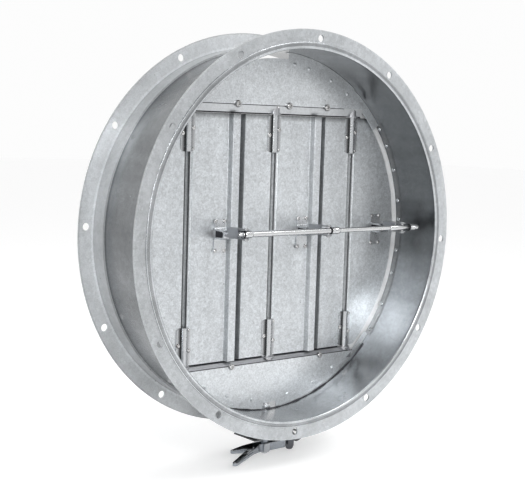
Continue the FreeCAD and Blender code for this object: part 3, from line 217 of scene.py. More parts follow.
# Parts whose look differs from that of their material slot
OWN_SKINS = {
    # Darker copy of the strip zinc: painted shade on the bottom strip
    "bottom_bearing_strip": metal("low_strip_shaded_zinc", (0.40, 0.41, 0.43), 0.34, 0.10, 0.12, (0.4, 1, 2), 0.12, 0.2,
                                  metallic=0.9),
    "top_bearing_strip": metal("high_strip_zinc", (0.66, 0.68, 0.70), 0.34, 0.10, 0.12, (0.4, 1, 2), 0.12, 0.2,
                               metallic=0.8),
    # Painted light brighter towards the right and a painted highlight at the outer rim
    "front_flange": metal("front_flange_lit_zinc", (0.885, 0.92, 0.95), 0.36, 0.20, 0.16, EVEN, 0.16, 0.28,
                          0.7, metallic=0.75, radial_light_and_shade=[(0.26, 0.97), (0.34, 0.90), (0.88, 0.92), (0.93, 1.0)],
                          side_light=[(0.0, 0.76), (0.55, 0.90), (1.0, 1.0)]),
    # Brighter copy of the flange zinc: painted light, with a painted highlight line at the fillet and painted
    # shade at the outer rim and on the leg
    "rear_flange": metal("rear_flange_lit_zinc", (0.91, 0.94, 0.965), 0.34, 0.16, 0.14, EVEN, 0.14, 0.22, 0.7,
                         metallic=0.4,
                         radial_light_and_shade=[(0.13, 0.60), (0.18, 1.0), (0.24, 1.0), (0.30, 0.86), (0.88, 0.90),
                              (0.95, 0.62)]),
    "lock_nut": metal("nut_dark", (0.16, 0.165, 0.18), 0.25, 0.03, 0.10, EVEN, 0.15, 0.10),
    # Near-black copy: painted shade of the casing's shadow on the quadrant bracket
    "quadrant_bracket": metal("quadrant_shaded", (0.13, 0.135, 0.14), 0.38, 0.05, 0.14, EVEN, 0.2, 0.12),
    "clamp_band": metal("band_zinc", (0.62, 0.64, 0.67), 0.30, 0.05, 0.16, (0.6, 1.4, 1), 0.22, 0.14),
    # Bright, low-metallic copy: painted highlight along the right stop arc
    "right_stop_arc": metal("arc_lit_zinc", (0.90, 0.91, 0.92), 0.36, 0.06, 0.08, EVEN, 0.08, 0.12, metallic=0.3),
}
SOFT_EDGES = ("front_flange", "rear_flange", "top_bearing_strip", "bottom_bearing_strip", "hand_lever",
              "clamp_band")

SLOT_OF = {entry["node"]: entry["material_slot"] for entry in frame["record"]["subparts"]}
for name, node in frame["nodes"].items():
    skin = OWN_SKINS.get(name, SKINS[SLOT_OF[name]])
    node.data.materials.clear()
    node.data.materials.append(skin)
    if name in SOFT_EDGES:
        edge = node.modifiers.new("soft_edge", "BEVEL")
        edge.width = 0.0007
        edge.segments = 2
        edge.limit_method = "ANGLE"
        edge.angle_limit = math.radians(50.0)


# Mesh helpers; numbers in millimetres

def piece(name, points, faces, slot, body, stands_for=(), sharp=40.0, painted_shade=None):
    mesh = bpy.data.meshes.new(name)
    mesh.from_pydata([Vector(p) * MM for p in points], [], faces)
    mesh.validate()
    mesh.update()
    for polygon in mesh.polygons:
        polygon.use_smooth = True
    mesh.set_sharp_from_angle(angle=math.radians(sharp))
    # Per-point painted shade values, read by the material's attribute node
    if painted_shade:
        layer = mesh.attributes.new("painted_shade", "FLOAT", "POINT")
        layer.data.foreach_set("value", [painted_shade(*point) for point in points])
    item = bpy.data.objects.new(name, mesh)
    bpy.context.scene.collection.objects.link(item)
    mesh.materials.append(SKINS[slot])
    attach(item, body)
    if stands_for:
        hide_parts(*stands_for)
    return item


class Shape:
    """Collects points and faces of several solids into one mesh."""

    def __init__(self):
        self.points, self.faces = [], []

    def add(self, points, faces):
        start = len(self.points)
        self.points += [tuple(p) for p in points]
        self.faces += [tuple(i + start for i in face) for face in faces]

    def lathe(self, profile, segments, frame_matrix, closed=False):
        """Profile of (radius, along) turned about the frame's Z axis."""
        points, faces = [], []
        count = len(profile)
        for ring in range(segments):
            turn = math.tau * ring / segments
            cosine, sine = math.cos(turn), math.sin(turn)
            for radius, along in profile:
                points.append(frame_matrix @ Vector((radius * cosine, radius * sine, along)))
        for ring in range(segments):
            after = (ring + 1) % segments
            for index in range(count if closed else count - 1):
                other = (index + 1) % count
                faces.append((ring * count + index, after * count + index,
                              after * count + other, ring * count + other))
        self.add(points, faces)

    def loft(self, loops):
        """Closed loops of equal length joined in order, with capped ends."""
        count = len(loops[0])
        points = [p for loop in loops for p in loop]
        faces = []
        for row in range(len(loops) - 1):
            for index in range(count):
                other = (index + 1) % count
                faces.append((row * count + index, row * count + other,
                              (row + 1) * count + other, (row + 1) * count + index))
        faces.append(tuple(reversed(range(count))))
        faces.append(tuple(range((len(loops) - 1) * count, len(loops) * count)))
        self.add(points, faces)


def axis_frame(origin, along):
    """Frame whose Z axis is along, set at origin."""
    turn = Vector((0, 0, 1)).rotation_difference(Vector(along)).to_matrix().to_4x4()
    return Matrix.Translation(Vector(origin)) @ turn


def dome(radius, height):
    """Profile of a rivet head from its rim to its crown."""
    steps, foot = 5, 0.25
    profile = [(0.0, 0.0), (radius, 0.0), (radius, height * foot)]
    for step in range(1, steps + 1):
        angle = math.pi / 2 * step / steps
        profile.append((radius * math.cos(angle), height * foot + height * (1 - foot) * math.sin(angle)))
    return profile


def pan(radius, height):
    """Profile of a pan head screw with a sunk middle."""
    recess = 0.45
    return [(0, 0), (radius, 0), (radius, height * 0.45), (radius * 0.93, height * 0.78),
            (radius * 0.74, height), (radius * recess, height), (radius * recess * 0.7, height * 0.55),
            (0, height * 0.5)]


def bent_path(corners, radii):
    """Polyline with its inner corners rounded; corners are 2-D points."""
    steps = 6
    path = [Vector(corners[0])]
    for index in range(1, len(corners) - 1):
        before, corner, after = (Vector(corners[index + k]) for k in (-1, 0, 1))
        into, out = (before - corner).normalized(), (after - corner).normalized()
        half = into.angle(out) / 2
        if half > math.radians(88.0):
            path.append(corner)
            continue
        reach = min(radii[index - 1] / math.tan(half),
                    (before - corner).length * 0.49, (after - corner).length * 0.49)
        for step in range(steps + 1):
            share = step / steps
            first = corner + into * reach * (1 - share)
            second = corner + out * reach * share
            path.append(first.lerp(second, share))
    path.append(Vector(corners[-1]))
    return path


def sheet_loft(shape, path, thickness, span, place, rows):
    """Bent sheet: path is its front face seen along the fold; span gives a path point's low and high ends."""
    count = len(path)
    front, back = [], []
    for index, point in enumerate(path):
        before = path[max(index - 1, 0)]
        after = path[min(index + 1, count - 1)]
        along = (after - before).normalized()
        normal = Vector((-along.y, along.x))
        front.append(point)
        back.append(point + normal * thickness)
    points, faces = [], []
    for row in range(rows + 1):
        share = row / rows
        for line in (front, back):
            for index, point in enumerate(line):
                low, high = span(path[index])
                points.append(place(point.x, point.y, low + (high - low) * share))
    wide = 2 * count
    for row in range(rows):
        low, high = row * wide, (row + 1) * wide
        for index in range(count - 1):
            faces.append((low + index, low + index + 1, high + index + 1, high + index))
            faces.append((low + count + index + 1, low + count + index,
                          high + count + index, high + count + index + 1))
        faces.append((low + count, low, high, high + count))
        faces.append((low + count - 1, low + wide - 1, high + wide - 1, high + count - 1))
    top = rows * wide
    for index in range(count - 1):
        faces.append((index + 1, index, count + index, count + index + 1))
        faces.append((top + index, top + index + 1, top + count + index + 1, top + count + index))
    shape.add(points, faces)


# Casing with both edges turned over the flange faces

def build_casing():
    outer = BORE + SHEET
    lip = outer + LIP
    bend = 2.4
    wall_rows, back_rows = 33, 24
    profile = []
    for step in range(7):
        angle = math.pi / 2 * step / 6
        profile.append((BORE + bend - bend * math.sin(angle), -SHEET + bend - bend * math.cos(angle)))
    for step in range(1, wall_rows):
        profile.append((BORE, -SHEET + bend + (LENGTH + 2 * SHEET - 2 * bend) * step / wall_rows))
    for step in range(7):
        angle = math.pi / 2 * step / 6
        profile.append((BORE + bend - bend * math.cos(angle), LENGTH + SHEET - bend + bend * math.sin(angle)))
    profile += [(lip - 0.4, LENGTH + SHEET), (lip, LENGTH + SHEET - 0.3), (lip, LENGTH + 0.02),
                (outer, LENGTH + 0.02)]
    for step in range(1, back_rows):
        profile.append((outer, LENGTH - LENGTH * step / back_rows))
    profile += [(outer, -0.02), (lip, -0.02), (lip, -SHEET + 0.5), (lip - 0.5, -SHEET), (lip - 1.3, -SHEET),
                (lip - 2.1, -SHEET + 0.55), (outer + 3.4, -SHEET + 0.55), (outer + 2.4, -SHEET)]
    shape = Shape()
    turned = Matrix.Rotation(math.radians(-90), 4, "X")
    shape.lathe(profile, 288, turned, closed=True)
    rng = random.Random(7)
    waves = [(k, rng.uniform(-1, 1), rng.uniform(0, math.tau)) for k in (3, 5, 9, 14, 23, 37)]
    moved = []
    for x, y, z in shape.points:
        radius, angle = math.hypot(x, z), math.atan2(z, x)
        ripple = sum(size * math.sin(k * angle + shift) / (k ** 0.4) for k, size, shift in waves)
        if radius > outer + 2:
            radius += min(0.0, 0.22 * ripple - 0.2)
        elif radius < BORE + 0.01:
            radius += 0.10 * ripple * math.sin(math.pi * max(0.0, min(1.0, y / LENGTH)))
        moved.append((radius * math.cos(angle), y, radius * math.sin(angle)))
    shape.points = moved

    def painted_shade(x, y, z):
        """Darker outside, painted shadow lines along the lip, and painted shade inside, heavier towards the upper
        right.
        """
        radius = math.hypot(x, z)
        if radius > BORE + 0.6 and 1.0 < y < LENGTH - 1.0:
            return 0.62
        if y < 0.5 and (radius > lip - 0.35 or outer + 3.0 < radius < lip - 1.9):
            return 0.45
        share = (0.84 * x + 0.54 * z) / BORE
        if y < 0.5:
            return 0.0
        return 0.30 + 0.42 * max(0.0, min(1.0, (share - 0.2) / 0.6))

    piece("casing_skin", shape.points, shape.faces, "casing_sheet", "casing", ["casing_shell"], 50, painted_shade)


# Blades, saddles and rivets

def blade_path(left_round, right_round):
    """Front face of a blade about its shaft, in steps fine enough to follow a round edge."""
    rim = BLADE_RIM - PITCH - 0.02
    foot = (-GROOVE - 1.0, 0.0)
    if left_round:
        left = [Vector((-rim, 0.0)), Vector(foot)]
    else:
        left = bent_path([(-89.4, -3.0), (-89.4, 8.5), (-64.0, 8.5), (-61.3, -1.1), (-59.7, -1.1),
                          (-58.7, 0.0), foot], [1.5, 1.2, 0.5, 0.4, 0.3])
    middle = []
    for step in range(15):
        angle = math.pi * step / 14
        middle.append(Vector((-GROOVE * math.cos(angle), GROOVE * math.sin(angle))))
    middle[0], middle[-1] = Vector((-GROOVE - 0.2, -0.5)), Vector((GROOVE + 0.2, -0.6))
    right = [(GROOVE + 1.0, 0.0), (8.4, 0.0), (9.4, -1.1), (10.9, -1.1), (11.9, 0.0)]
    if right_round:
        right = bent_path(right + [(rim, 0.0)], [0.3, 0.4, 0.4, 0.3])
    else:
        right = bent_path(right + [(80.0, 0.0), (84.0, -9.0), (97.4, -9.0)], [0.3, 0.4, 0.4, 0.3, 2.5, 2.0])
    path = left + middle + right
    dense = [path[0]]
    for point in path[1:]:
        gap = (point - dense[-1]).length
        parts = max(1, int(gap / 6.0))
        start = dense[-1].copy()
        for step in range(1, parts + 1):
            dense.append(start.lerp(point, step / parts))
    return dense


def build_blade(number, body):
    shift = (number - 2) * PITCH
    groove_edge, groove_reach = 5.6, 5.7
    path = blade_path(number == 1, number == 3)
    rng = random.Random(20 + number)
    bumps = [(rng.uniform(0.012, 0.05), rng.uniform(0.010, 0.03), rng.uniform(0, 6.28), rng.uniform(0, 6.28))
             for _ in range(4)]

    def span(point):
        x = abs(point.x + shift)
        if number != 2 and x >= PITCH * 0.9:
            reach = math.sqrt(max(BLADE_RIM ** 2 - x ** 2, 1.0))
            return max(BLADE_BOTTOM, -reach), min(BLADE_TOP, reach)
        return BLADE_BOTTOM, BLADE_TOP

    def place(u, v, z):
        """Slightly wavy sheet, flat near its folds."""
        warp = sum(math.sin(a * u + p) * math.sin(b * z + q) for a, b, p, q in bumps)
        fade = min(1.0, abs(abs(u) - 8.0) / 25.0) if abs(u) > 8 else 0.0
        fade *= min(1.0, max(0.0, 78.0 - u) / 12.0) if number != 3 else 1.0
        return (shift + u, AXLE + v + 0.16 * warp * fade, z)

    def painted_shade(x, y, z):
        """Painted shade at the top edge, in the groove, at the foot of the hem and in the set-back edge."""
        u, v = x - shift, y - AXLE
        if z > BLADE_TOP - 1.0 and v < 3.0:
            return 0.80
        if -groove_edge < u < groove_edge and v > 0.6 and math.hypot(u, v) < groove_reach:
            return 0.95 if u < 0.5 else 0.55
        if v > 3.0 and -66.5 < u < -61.0:
            return 0.45
        if 7.0 < v < 9.0 and u <= -66.5:
            return 0.2 if u > -77 else 0.85
        if -6.0 < v < -0.5 and 79.0 < u < 85.0:
            return 0.2
        return 0.0

    shape = Shape()
    sheet_loft(shape, path, SHEET, span, place, rows=40)
    label = "blade_%d" % number
    piece(label + "_sheet", shape.points, shape.faces, "blade_sheet", body, [label], 32, painted_shade)


def build_saddle(number, upper, body):
    shift = (number - 2) * PITCH
    crest = GROOVE + SHEET
    points = [Vector((-crest - SADDLE_FOOT, -SHEET))]
    points.append(Vector((-crest - 1.2, -SHEET)))
    for step in range(13):
        angle = math.pi * step / 12
        points.append(Vector((-crest * math.cos(angle), -max(crest * math.sin(angle), SHEET * 1.02))))
    points.append(Vector((crest + 1.2, -SHEET)))
    points.append(Vector((crest + SADDLE_FOOT, -SHEET)))
    top = BLADE_TOP if upper else BLADE_BOTTOM + SADDLE_LENGTH
    low = top - SADDLE_LENGTH

    def span(point):
        edge = abs(point.x) > crest + 3
        return (low + (3.0 if edge else 0.0), top - (3.0 if edge else 0.0))

    def painted_shade(x, y, z):
        """Painted shade in the saddle's inner corners, more on the left."""
        u, v = x - shift, y - AXLE
        if v > -3.4 and -8.2 < u < -5.0:
            return 0.9
        return 0.55 if v > -2.6 and 5.4 < u < 8.0 else 0.0

    shape = Shape()
    sheet_loft(shape, points, SHEET - 0.02, span, lambda u, v, z: (shift + u, AXLE + v, z), rows=6)
    label = "blade_%d_%s_saddle" % (number, "top" if upper else "bottom")
    piece(label + "_strap", shape.points, shape.faces, "strap_steel", body, [label], 35, painted_shade)


def build_rivets(number, body):
    shift = (number - 2) * PITCH
    side = GROOVE + SHEET + SADDLE_FOOT / 2
    shape = Shape()
    for share, hand in ((0.54, -1), (0.40, 1), (0.93, 1)):
        small = share > 0.9
        for z in (BLADE_TOP - share * SADDLE_LENGTH, BLADE_BOTTOM + share * SADDLE_LENGTH):
            spot = (shift + hand * side, AXLE - SHEET, z)
            shape.lathe(dome(2.2 if small else 3.7, 1.4 if small else 2.2), 18, axis_frame(spot, (0, -1, 0)))
    for up in (-1, 1):
        for aside in (-1, 1):
            spot = (shift + LINK_X + aside * 9.0, AXLE - 2.5, BRACKET_Z + up * 24.0)
            shape.lathe(dome(3.6, 2.2), 18, axis_frame(spot, (0, -1, 0)))
    label = "blade_%d_rivets" % number
    piece(label + "_heads", shape.points, shape.faces, "fasteners", body, [label], 50)


# Link rod with its clamp collars, rings, sleeve and pins

def build_link():
    frame_x = axis_frame((0, LINK_Y, LINK_Z), (1, 0, 0))
    left, middle, right = -PITCH + LINK_X, LINK_X, PITCH + LINK_X
    rod = Shape()
    profile = [(0, left - 13.98), (2.2, left - 13.98), (3.2, left - 13.0), (3.35, left - 12.0), (3.35, left - 8.5),
               (2.6, left - 7.6), (2.6, left - 6.0), (4.3, left - 6.0), (4.95, left - 5.4), (4.95, middle + 5.9),
               (4.1, middle + 6.1), (4.1, right + 31.0)]
    turn = right + 31.0
    while turn < right + 36.5:
        profile += [(3.6, turn + 0.5), (4.1, turn + 1.0)]
        turn += 1.0
    profile += [(3.0, right + 37.98), (0, right + 37.98)]
    rod.lathe(profile, 40, frame_x)
    piece("link_rod_bar", rod.points, rod.faces, "rod_zinc", "link", ["link_rod"], 35)
    sleeve = Shape()
    low, high = right - 31.35, right + 14.75
    sleeve.lathe([(4.25, low), (4.8, low), (5.15, low + 0.5), (5.15, high - 0.5), (4.8, high), (4.25, high)],
                 40, frame_x)
    piece("rod_sleeve_tube", sleeve.points, sleeve.faces, "rod_zinc", "link", ["rod_sleeve"], 35)
    clamps, rings, pins = Shape(), Shape(), Shape()
    low, top = left - 2.95, left + 11.95
    clamps.lathe([(5.05, low), (5.7, low), (6.45, low + 0.8), (6.45, top - 3.5), (6.1, top - 1.5), (5.3, top),
                  (5.05, top)], 48, frame_x)
    low, top = middle + 6.15, middle + 24.05
    clamps.lathe([(4.25, low), (5.6, low), (6.2, low + 0.8), (6.2, low + 5.5), (5.4, low + 6.6),
                  (5.9, low + 8.5), (6.45, low + 10.8), (6.45, low + 13.0), (5.9, low + 15.4), (5.0, top),
                  (4.25, top)], 48, frame_x)
    low, top = right + 18.05, right + 30.95
    nut = [(4.25, low), (4.9, low)]
    turn = low
    while turn < top - 1.2:
        nut += [(5.55, turn + 0.35), (5.55, turn + 0.75), (5.1, turn + 1.1)]
        turn += 1.1
    clamps.lathe(nut + [(4.9, top), (4.25, top)], 40, frame_x)
    for spot in (left + 5.5, middle + 9.6):
        clamps.lathe([(0.0, -0.9), (0.9, -0.9), (1.1, 0.1), (1.8, 0.1), (2.1, -0.4), (2.1, -1.0)], 20,
                     axis_frame((spot, LINK_Y - 6.2, LINK_Z), (0, -1, 0)))
    for inner, start in ((5.05, left - 6.0), (5.05, middle + 2.9), (4.25, right + 15.0)):
        rings.lathe([(inner, start + 0.02), (5.7, start + 0.02), (6.25, start + 0.5), (6.25, start + 2.3),
                     (5.7, start + 2.78), (inner, start + 2.78)], 40, frame_x)
    grip = 8.5
    for pivot in (left, middle, right):
        low, high = LINK_Z - grip, LINK_Z + grip
        pins.lathe([(0, low - 1.55), (3.5, low - 1.55), (4.15, low - 0.9), (4.15, low), (2.48, low), (2.48, high),
                    (4.15, high), (4.15, high + 0.8), (3.4, high + 1.5), (0, high + 1.55)], 32,
                   axis_frame((pivot, LINK_Y, 0), (0, 0, 1)))
    for shape, name, slot, node in ((clamps, "rod_clamps_round", "rod_zinc", "rod_clamps"),
                                    (rings, "rod_rings_round", "dark_steel", "rod_rings"),
                                    (pins, "pivot_pins_round", "rod_zinc", "pivot_pins")):
        piece(name, shape.points, shape.faces, slot, "link", [node], 35)


# Fasteners on the fixed parts

def build_fixed_fasteners():
    screws = Shape()
    for x in (-85.8, 22.3, 106.6):
        screws.lathe(pan(6.0, 4.6), 28, axis_frame((x, PLATE_FACE, TOP_EDGE), (0, -1, 0)))
    piece("top_strip_screw_heads", screws.points, screws.faces, "fasteners", "casing", ["top_strip_screws"], 40)
    screws = Shape()
    for x in (-84.6, 109.3):
        screws.lathe(pan(5.4, 4.2), 28, axis_frame((x, PLATE_FACE, BOTTOM_EDGE), (0, -1, 0)))
    piece("bottom_strip_screw_heads", screws.points, screws.faces, "fasteners", "casing",
          ["bottom_strip_screws"], 40)
    rivets = Shape()
    plate_angles = (83.5, 77.0, 66.0, 57.0, 104.0, 112.0, 122.0, 241.0, 251.0, 262.0, 278.0, 290.0, 300.0)
    for angle in plate_angles:
        turn = math.radians(angle)
        spot = (PLATE_RIVET_CIRCLE * math.cos(turn), PLATE_FACE, PLATE_RIVET_CIRCLE * math.sin(turn))
        rivets.lathe(dome(3.0, 1.8), 16, axis_frame(spot, (0, -1, 0)))
    piece("plate_rivet_heads", rivets.points, rivets.faces, "plate_sheet", "casing", ["plate_rivets"], 50)
    rivets = Shape()
    for angle in (36.2, 29.6, 20.4, 9.4, 2.7, -8.2, -16.4, -28.0, -38.0):
        turn = math.radians(angle)
        spot = (BORE * math.cos(turn), PLATE_FACE + 6, BORE * math.sin(turn))
        rivets.lathe(dome(3.6, 2.2), 16, axis_frame(spot, (-math.cos(turn), 0, -math.sin(turn))))
    piece("wall_rivet_heads", rivets.points, rivets.faces, "casing_sheet", "casing", ["wall_rivets"], 50)


def build_gap_shades():
    """Dark strips that paint the shade in the gaps above and below the blades, left open at the shafts."""
    front, back = AXLE + 2.6, AXLE + 12.4
    for name, low, high in (("top_gap_shade", BLADE_TOP + 0.5, TOP_SHELF),
                            ("bottom_gap_shade", BOTTOM_SHELF, BLADE_BOTTOM - 0.5)):
        shape = Shape()
        reach = math.sqrt(BORE ** 2 - max(abs(low), abs(high)) ** 2) - 12.0
        edges = [-reach] + [shift * PITCH + side * 9.0 for shift in (-1, 0, 1) for side in (-1, 1)] + [reach]
        for start, end in zip(edges[::2], edges[1::2]):
            if end - start < 4.0:
                continue
            loops = []
            for x in (start, end):
                loops.append([(x, front, low), (x, back, low), (x, back, high), (x, front, high)])
            shape.loft(loops)
        piece(name, shape.points, shape.faces, "dark_steel", "casing", (), 30)


def build_edge_lines():
    """Dark strips that paint the shadow along the fixed plates' straight edges."""
    for name, level, ends in (("top_edge_shadow_line", TOP_EDGE - 1.1, (-196.0, 148.0)),
                              ("bottom_edge_shadow_line", BOTTOM_EDGE + 0.05, (-190.0, 190.0))):
        shape = Shape()
        loops = []
        for x in ends:
            loops.append([(x, PLATE_FACE + 0.35, level), (x, PLATE_FACE + 1.15, level),
                          (x, PLATE_FACE + 1.15, level + 1.05), (x, PLATE_FACE + 0.35, level + 1.05)])
        shape.loft(loops)
        piece(name, shape.points, shape.faces, "dark_steel", "casing", (), 30)


def build_ring_bridge():
    """Flat piece of the plate ring across the bearing in the casing's bottom."""
    shape = Shape()
    front, back = PLATE_FACE + 1.25, PLATE_FACE + 2.35
    loops = []
    for step in range(33):
        angle = math.radians(173.9 + 12.2 * step / 32)
        outer = BORE - 0.35 if abs(BORE * math.sin(angle)) > 14.0 else BORE - 12.0
        corners = [(RING_BORE, front), (RING_BORE, back), (outer, back), (outer, front)]
        loops.append([(r * math.sin(angle), y, r * math.cos(angle)) for r, y in corners])
    shape.loft(loops)
    piece("bottom_ring_bridge", shape.points, shape.faces, "plate_sheet", "casing", (), 30)


def build_seam_shade():
    """Dark bead that paints the shade in the corner between the bottom plate and the casing wall."""
    shape = Shape()
    wall, face = BORE - 0.3, PLATE_FACE - 0.15
    loops = []
    for step in range(61):
        angle = math.radians(134.0 + 92.0 * step / 60)
        size = 1.6 + 0.5 * math.sin(step * 0.9) + 0.3 * math.sin(step * 2.3)
        corners = [(wall, PLATE_FACE - size * 0.8), (wall - size, face), (wall, face)]
        loops.append([(r * math.sin(angle), y, r * math.cos(angle)) for r, y in corners])
    shape.loft(loops)
    piece("bottom_seam_shade", shape.points, shape.faces, "dark_steel", "casing", (), 50)


def build_bracket_shades():
    """Dark plates that paint the shade inside the brackets' hollow noses."""
    for number, body in ((1, "left_blade"), (2, "middle_blade"), (3, "right_blade")):
        middle = (number - 2) * PITCH + LINK_X
        left, right = middle - 8.6, middle - 8.2
        shape = Shape()
        loops = []
        for depth, low, high in ((24.0, -1.6, 4.8), (22.6, -3.0, 6.2), (6.0, -3.4, 6.6), (2.4, -5.0, 8.0)):
            y = AXLE - depth
            loops.append([(left, y, low), (left, y, high), (right, y, high), (right, y, low)])
        shape.loft(loops)
        piece("bracket_%d_shade" % number, shape.points, shape.faces, "dark_steel", body, (), 40)


def build_fork():
    """Upturned rim of the lever's forked grip, with painted shade on the inside."""
    tip = 4.2
    floor, shoulder = -370.5, -372.8
    outline = [(-18.0, 84.6, shoulder, 12.4), (-30.0, 78.4, -371.6, 9.6), (-41.0, 73.2, -370.7, 8.0),
               (-71.0, 56.6, floor, 6.0), (-102.6, 37.6, floor, 4.6)]
    outline += [(-104.0 + tip * math.cos(a), 41.0 + tip * math.sin(a), floor, 4.4)
                for a in [math.radians(300 - 22.5 * k) for k in range(1, 8)]]
    outline += [(-106.0, 44.8, floor, 4.8), (-78.0, 62.6, floor, 6.2), (-50.0, 80.2, floor, 7.6),
                (-46.5, 84.5, floor, 7.8), (-50.0, 87.8, floor, 7.6), (-62.0, 94.6, floor, 5.2)]
    outline += [(-64.0 + tip * math.cos(a), 99.0 + tip * math.sin(a), floor, 4.8)
                for a in [math.radians(285 - 25.0 * k) for k in range(1, 8)]]
    outline += [(-56.0, 104.0, floor, 6.0), (-40.0, 103.8, -370.6, 8.6), (-18.0, 103.4, shoulder, 12.4)]
    count = len(outline)
    loops = []
    for index, (x, y, low, rise) in enumerate(outline):
        before = Vector(outline[max(index - 1, 0)][:2])
        after = Vector(outline[min(index + 1, count - 1)][:2])
        along = (after - before).normalized()
        inward = Vector((along.y, -along.x)) * 1.0
        loops.append([(x, y, low), (x + inward.x, y + inward.y, low),
                      (x + inward.x, y + inward.y, low + rise), (x, y, low + rise)])
    shape = Shape()
    shape.loft(loops)
    inner = set()
    for index in range(count):
        inner.update((4 * index + 1, 4 * index + 2))
    # Painted shade on the rim's inside faces
    shaded_inside_points = {tuple(shape.points[k]) for k in inner}
    piece("grip_rim", shape.points, shape.faces, "lever_steel", "middle_blade", (), 40,
          lambda x, y, z: 0.9 if (x, y, z) in shaded_inside_points else 0.0)
    rivets = Shape()
    for x, y in ((-24.0, 93.0), (-104.0, 41.0), (-64.0, 99.0)):
        rivets.lathe(dome(1.6 if x < -30 else 2.4, 1.6), 18, axis_frame((x, y, -366.5), (0, 0, 1)))
    piece("grip_rivets", rivets.points, rivets.faces, "rod_zinc", "middle_blade", (), 50)


build_casing()
build_gap_shades()
build_fork()
build_edge_lines()
build_ring_bridge()
build_seam_shade()
build_bracket_shades()
for number, body in ((1, "left_blade"), (2, "middle_blade"), (3, "right_blade")):
    build_blade(number, body)
    build_saddle(number, True, body)
    build_saddle(number, False, body)
    build_rivets(number, body)
build_link()
build_fixed_fasteners()


# Floor, light and camera

DARK_SIDE = (-0.62, -0.76, 0.20)
DARK_TONE = (0.12, 0.12, 0.13)


def build_stage():
    mesh = bpy.data.meshes.new("floor")
    half, level = 14.0, FLOOR_LEVEL * MM
    corners = [(-half, -half, level), (half, -half, level), (half, half, level), (-half, half, level)]
    mesh.from_pydata(corners, [], [(0, 1, 2, 3)])
    floor = bpy.data.objects.new("floor", mesh)
    bpy.context.scene.collection.objects.link(floor)
    material, tree, shader = node_tree("floor_white")
    shader.inputs["Base Color"].default_value = (0.80, 0.80, 0.80, 1)
    shader.inputs["Roughness"].default_value = 0.9
    glow = tree.nodes.new("ShaderNodeEmission")
    glow.inputs["Color"].default_value = (1, 1, 1, 1)
    blend = tree.nodes.new("ShaderNodeAddShader")
    rays = tree.nodes.new("ShaderNodeLightPath")
    either = tree.nodes.new("ShaderNodeMath")
    either.operation = "MAXIMUM"
    tree.links.new(rays.outputs["Is Camera Ray"], either.inputs[0])
    tree.links.new(rays.outputs["Is Glossy Ray"], either.inputs[1])
    level_node = tree.nodes.new("ShaderNodeMath")
    level_node.operation = "MULTIPLY"
    level_node.inputs[1].default_value = 0.345
    tree.links.new(either.outputs[0], level_node.inputs[0])
    tree.links.new(level_node.outputs[0], glow.inputs["Strength"])
    output = next(n for n in tree.nodes if n.type == "OUTPUT_MATERIAL")
    tree.links.new(shader.outputs[0], blend.inputs[0])
    tree.links.new(glow.outputs[0], blend.inputs[1])
    tree.links.new(blend.outputs[0], output.inputs[0])
    mesh.materials.append(material)


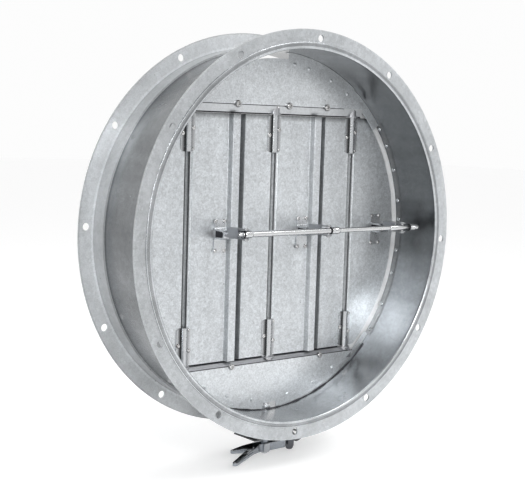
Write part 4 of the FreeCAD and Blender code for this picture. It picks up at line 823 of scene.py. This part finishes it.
def build_world():
    """Pale studio: darker high up on one side, white near the horizon; diffuse light comes evenly."""
    world = bpy.data.worlds.new("studio")
    bpy.context.scene.world = world
    world.use_nodes = True
    tree = world.node_tree
    tree.nodes.clear()
    output = tree.nodes.new("ShaderNodeOutputWorld")
    back = tree.nodes.new("ShaderNodeBackground")
    place = tree.nodes.new("ShaderNodeTexCoord")
    split = tree.nodes.new("ShaderNodeSeparateXYZ")
    tree.links.new(place.outputs["Generated"], split.inputs[0])
    side = tree.nodes.new("ShaderNodeVectorMath")
    side.operation = "DOT_PRODUCT"
    side.inputs[1].default_value = DARK_SIDE
    tree.links.new(place.outputs["Generated"], side.inputs[0])
    lobe = tree.nodes.new("ShaderNodeMapRange")
    lobe.interpolation_type = "SMOOTHSTEP"
    lobe.inputs["From Min"].default_value = 0.25
    lobe.inputs["From Max"].default_value = 0.85
    tree.links.new(side.outputs["Value"], lobe.inputs["Value"])
    rise = tree.nodes.new("ShaderNodeMapRange")
    rise.interpolation_type = "SMOOTHSTEP"
    rise.inputs["From Min"].default_value = 0.04
    rise.inputs["From Max"].default_value = 0.22
    tree.links.new(split.outputs[2], rise.inputs["Value"])
    share = tree.nodes.new("ShaderNodeMath")
    share.operation = "MULTIPLY"
    tree.links.new(lobe.outputs[0], share.inputs[0])
    tree.links.new(rise.outputs[0], share.inputs[1])
    seen = mix(tree, "MIX", share.outputs[0], (0.98, 0.98, 0.98), DARK_TONE)
    rays = tree.nodes.new("ShaderNodeLightPath")
    first = tree.nodes.new("ShaderNodeMath")
    first.operation = "MAXIMUM"
    tree.links.new(rays.outputs["Is Camera Ray"], first.inputs[0])
    tree.links.new(rays.outputs["Is Glossy Ray"], first.inputs[1])
    second = tree.nodes.new("ShaderNodeMath")
    second.operation = "MAXIMUM"
    tree.links.new(first.outputs[0], second.inputs[0])
    tree.links.new(rays.outputs["Is Transmission Ray"], second.inputs[1])
    shown = mix(tree, "MIX", second.outputs[0], (0.75, 0.75, 0.75), seen)
    tree.links.new(shown, back.inputs["Color"])
    tree.links.new(back.outputs[0], output.inputs[0])


def soft_light(name, place, target, size, power, spread=180.0):
    data = bpy.data.lights.new(name, "AREA")
    data.shape = "RECTANGLE"
    data.size, data.size_y = size
    data.energy = power
    data.spread = math.radians(spread)
    lamp = bpy.data.objects.new(name, data)
    bpy.context.scene.collection.objects.link(lamp)
    lamp.location = place
    lamp.rotation_euler = (Vector(target) - Vector(place)).to_track_quat("-Z", "Y").to_euler()


def build_camera():
    data = bpy.data.cameras.new("camera")
    data.sensor_width = 36.0
    data.lens = 77.79
    data.clip_start, data.clip_end = 0.05, 60.0
    camera = bpy.data.objects.new("camera", data)
    bpy.context.scene.collection.objects.link(camera)
    right = Vector((0.7767, -0.6292, 0.0299))
    back = Vector((-0.6286, -0.7710, 0.1023)).normalized()
    right = (right - back * right.dot(back)).normalized()
    up = back.cross(right)
    turn = Matrix((right, up, back)).transposed().to_4x4()
    camera.matrix_world = Matrix.Translation((-1.2072, -1.3653, 0.1729)) @ turn
    bpy.context.scene.camera = camera


build_stage()
build_world()
soft_light("key", (1.3, -1.5, 2.0), (0, 0.05, -0.1), (0.7, 0.7), 17.8)
soft_light("low_right", (-0.7, -2.0, 1.0), (0.21, 0.08, -0.17), (1.1, 1.1), 1.9, 24.0)
soft_light("left", (-1.9, -1.1, 0.5), (-0.33, 0.12, 0.0), (0.5, 1.2), 0.9, 24.0)
soft_light("top", (0.3, 0.2, 2.4), (0, 0.1, 0.0), (2.0, 1.2), 10.0)
build_camera()
bpy.context.scene.view_settings.view_transform = "Standard"
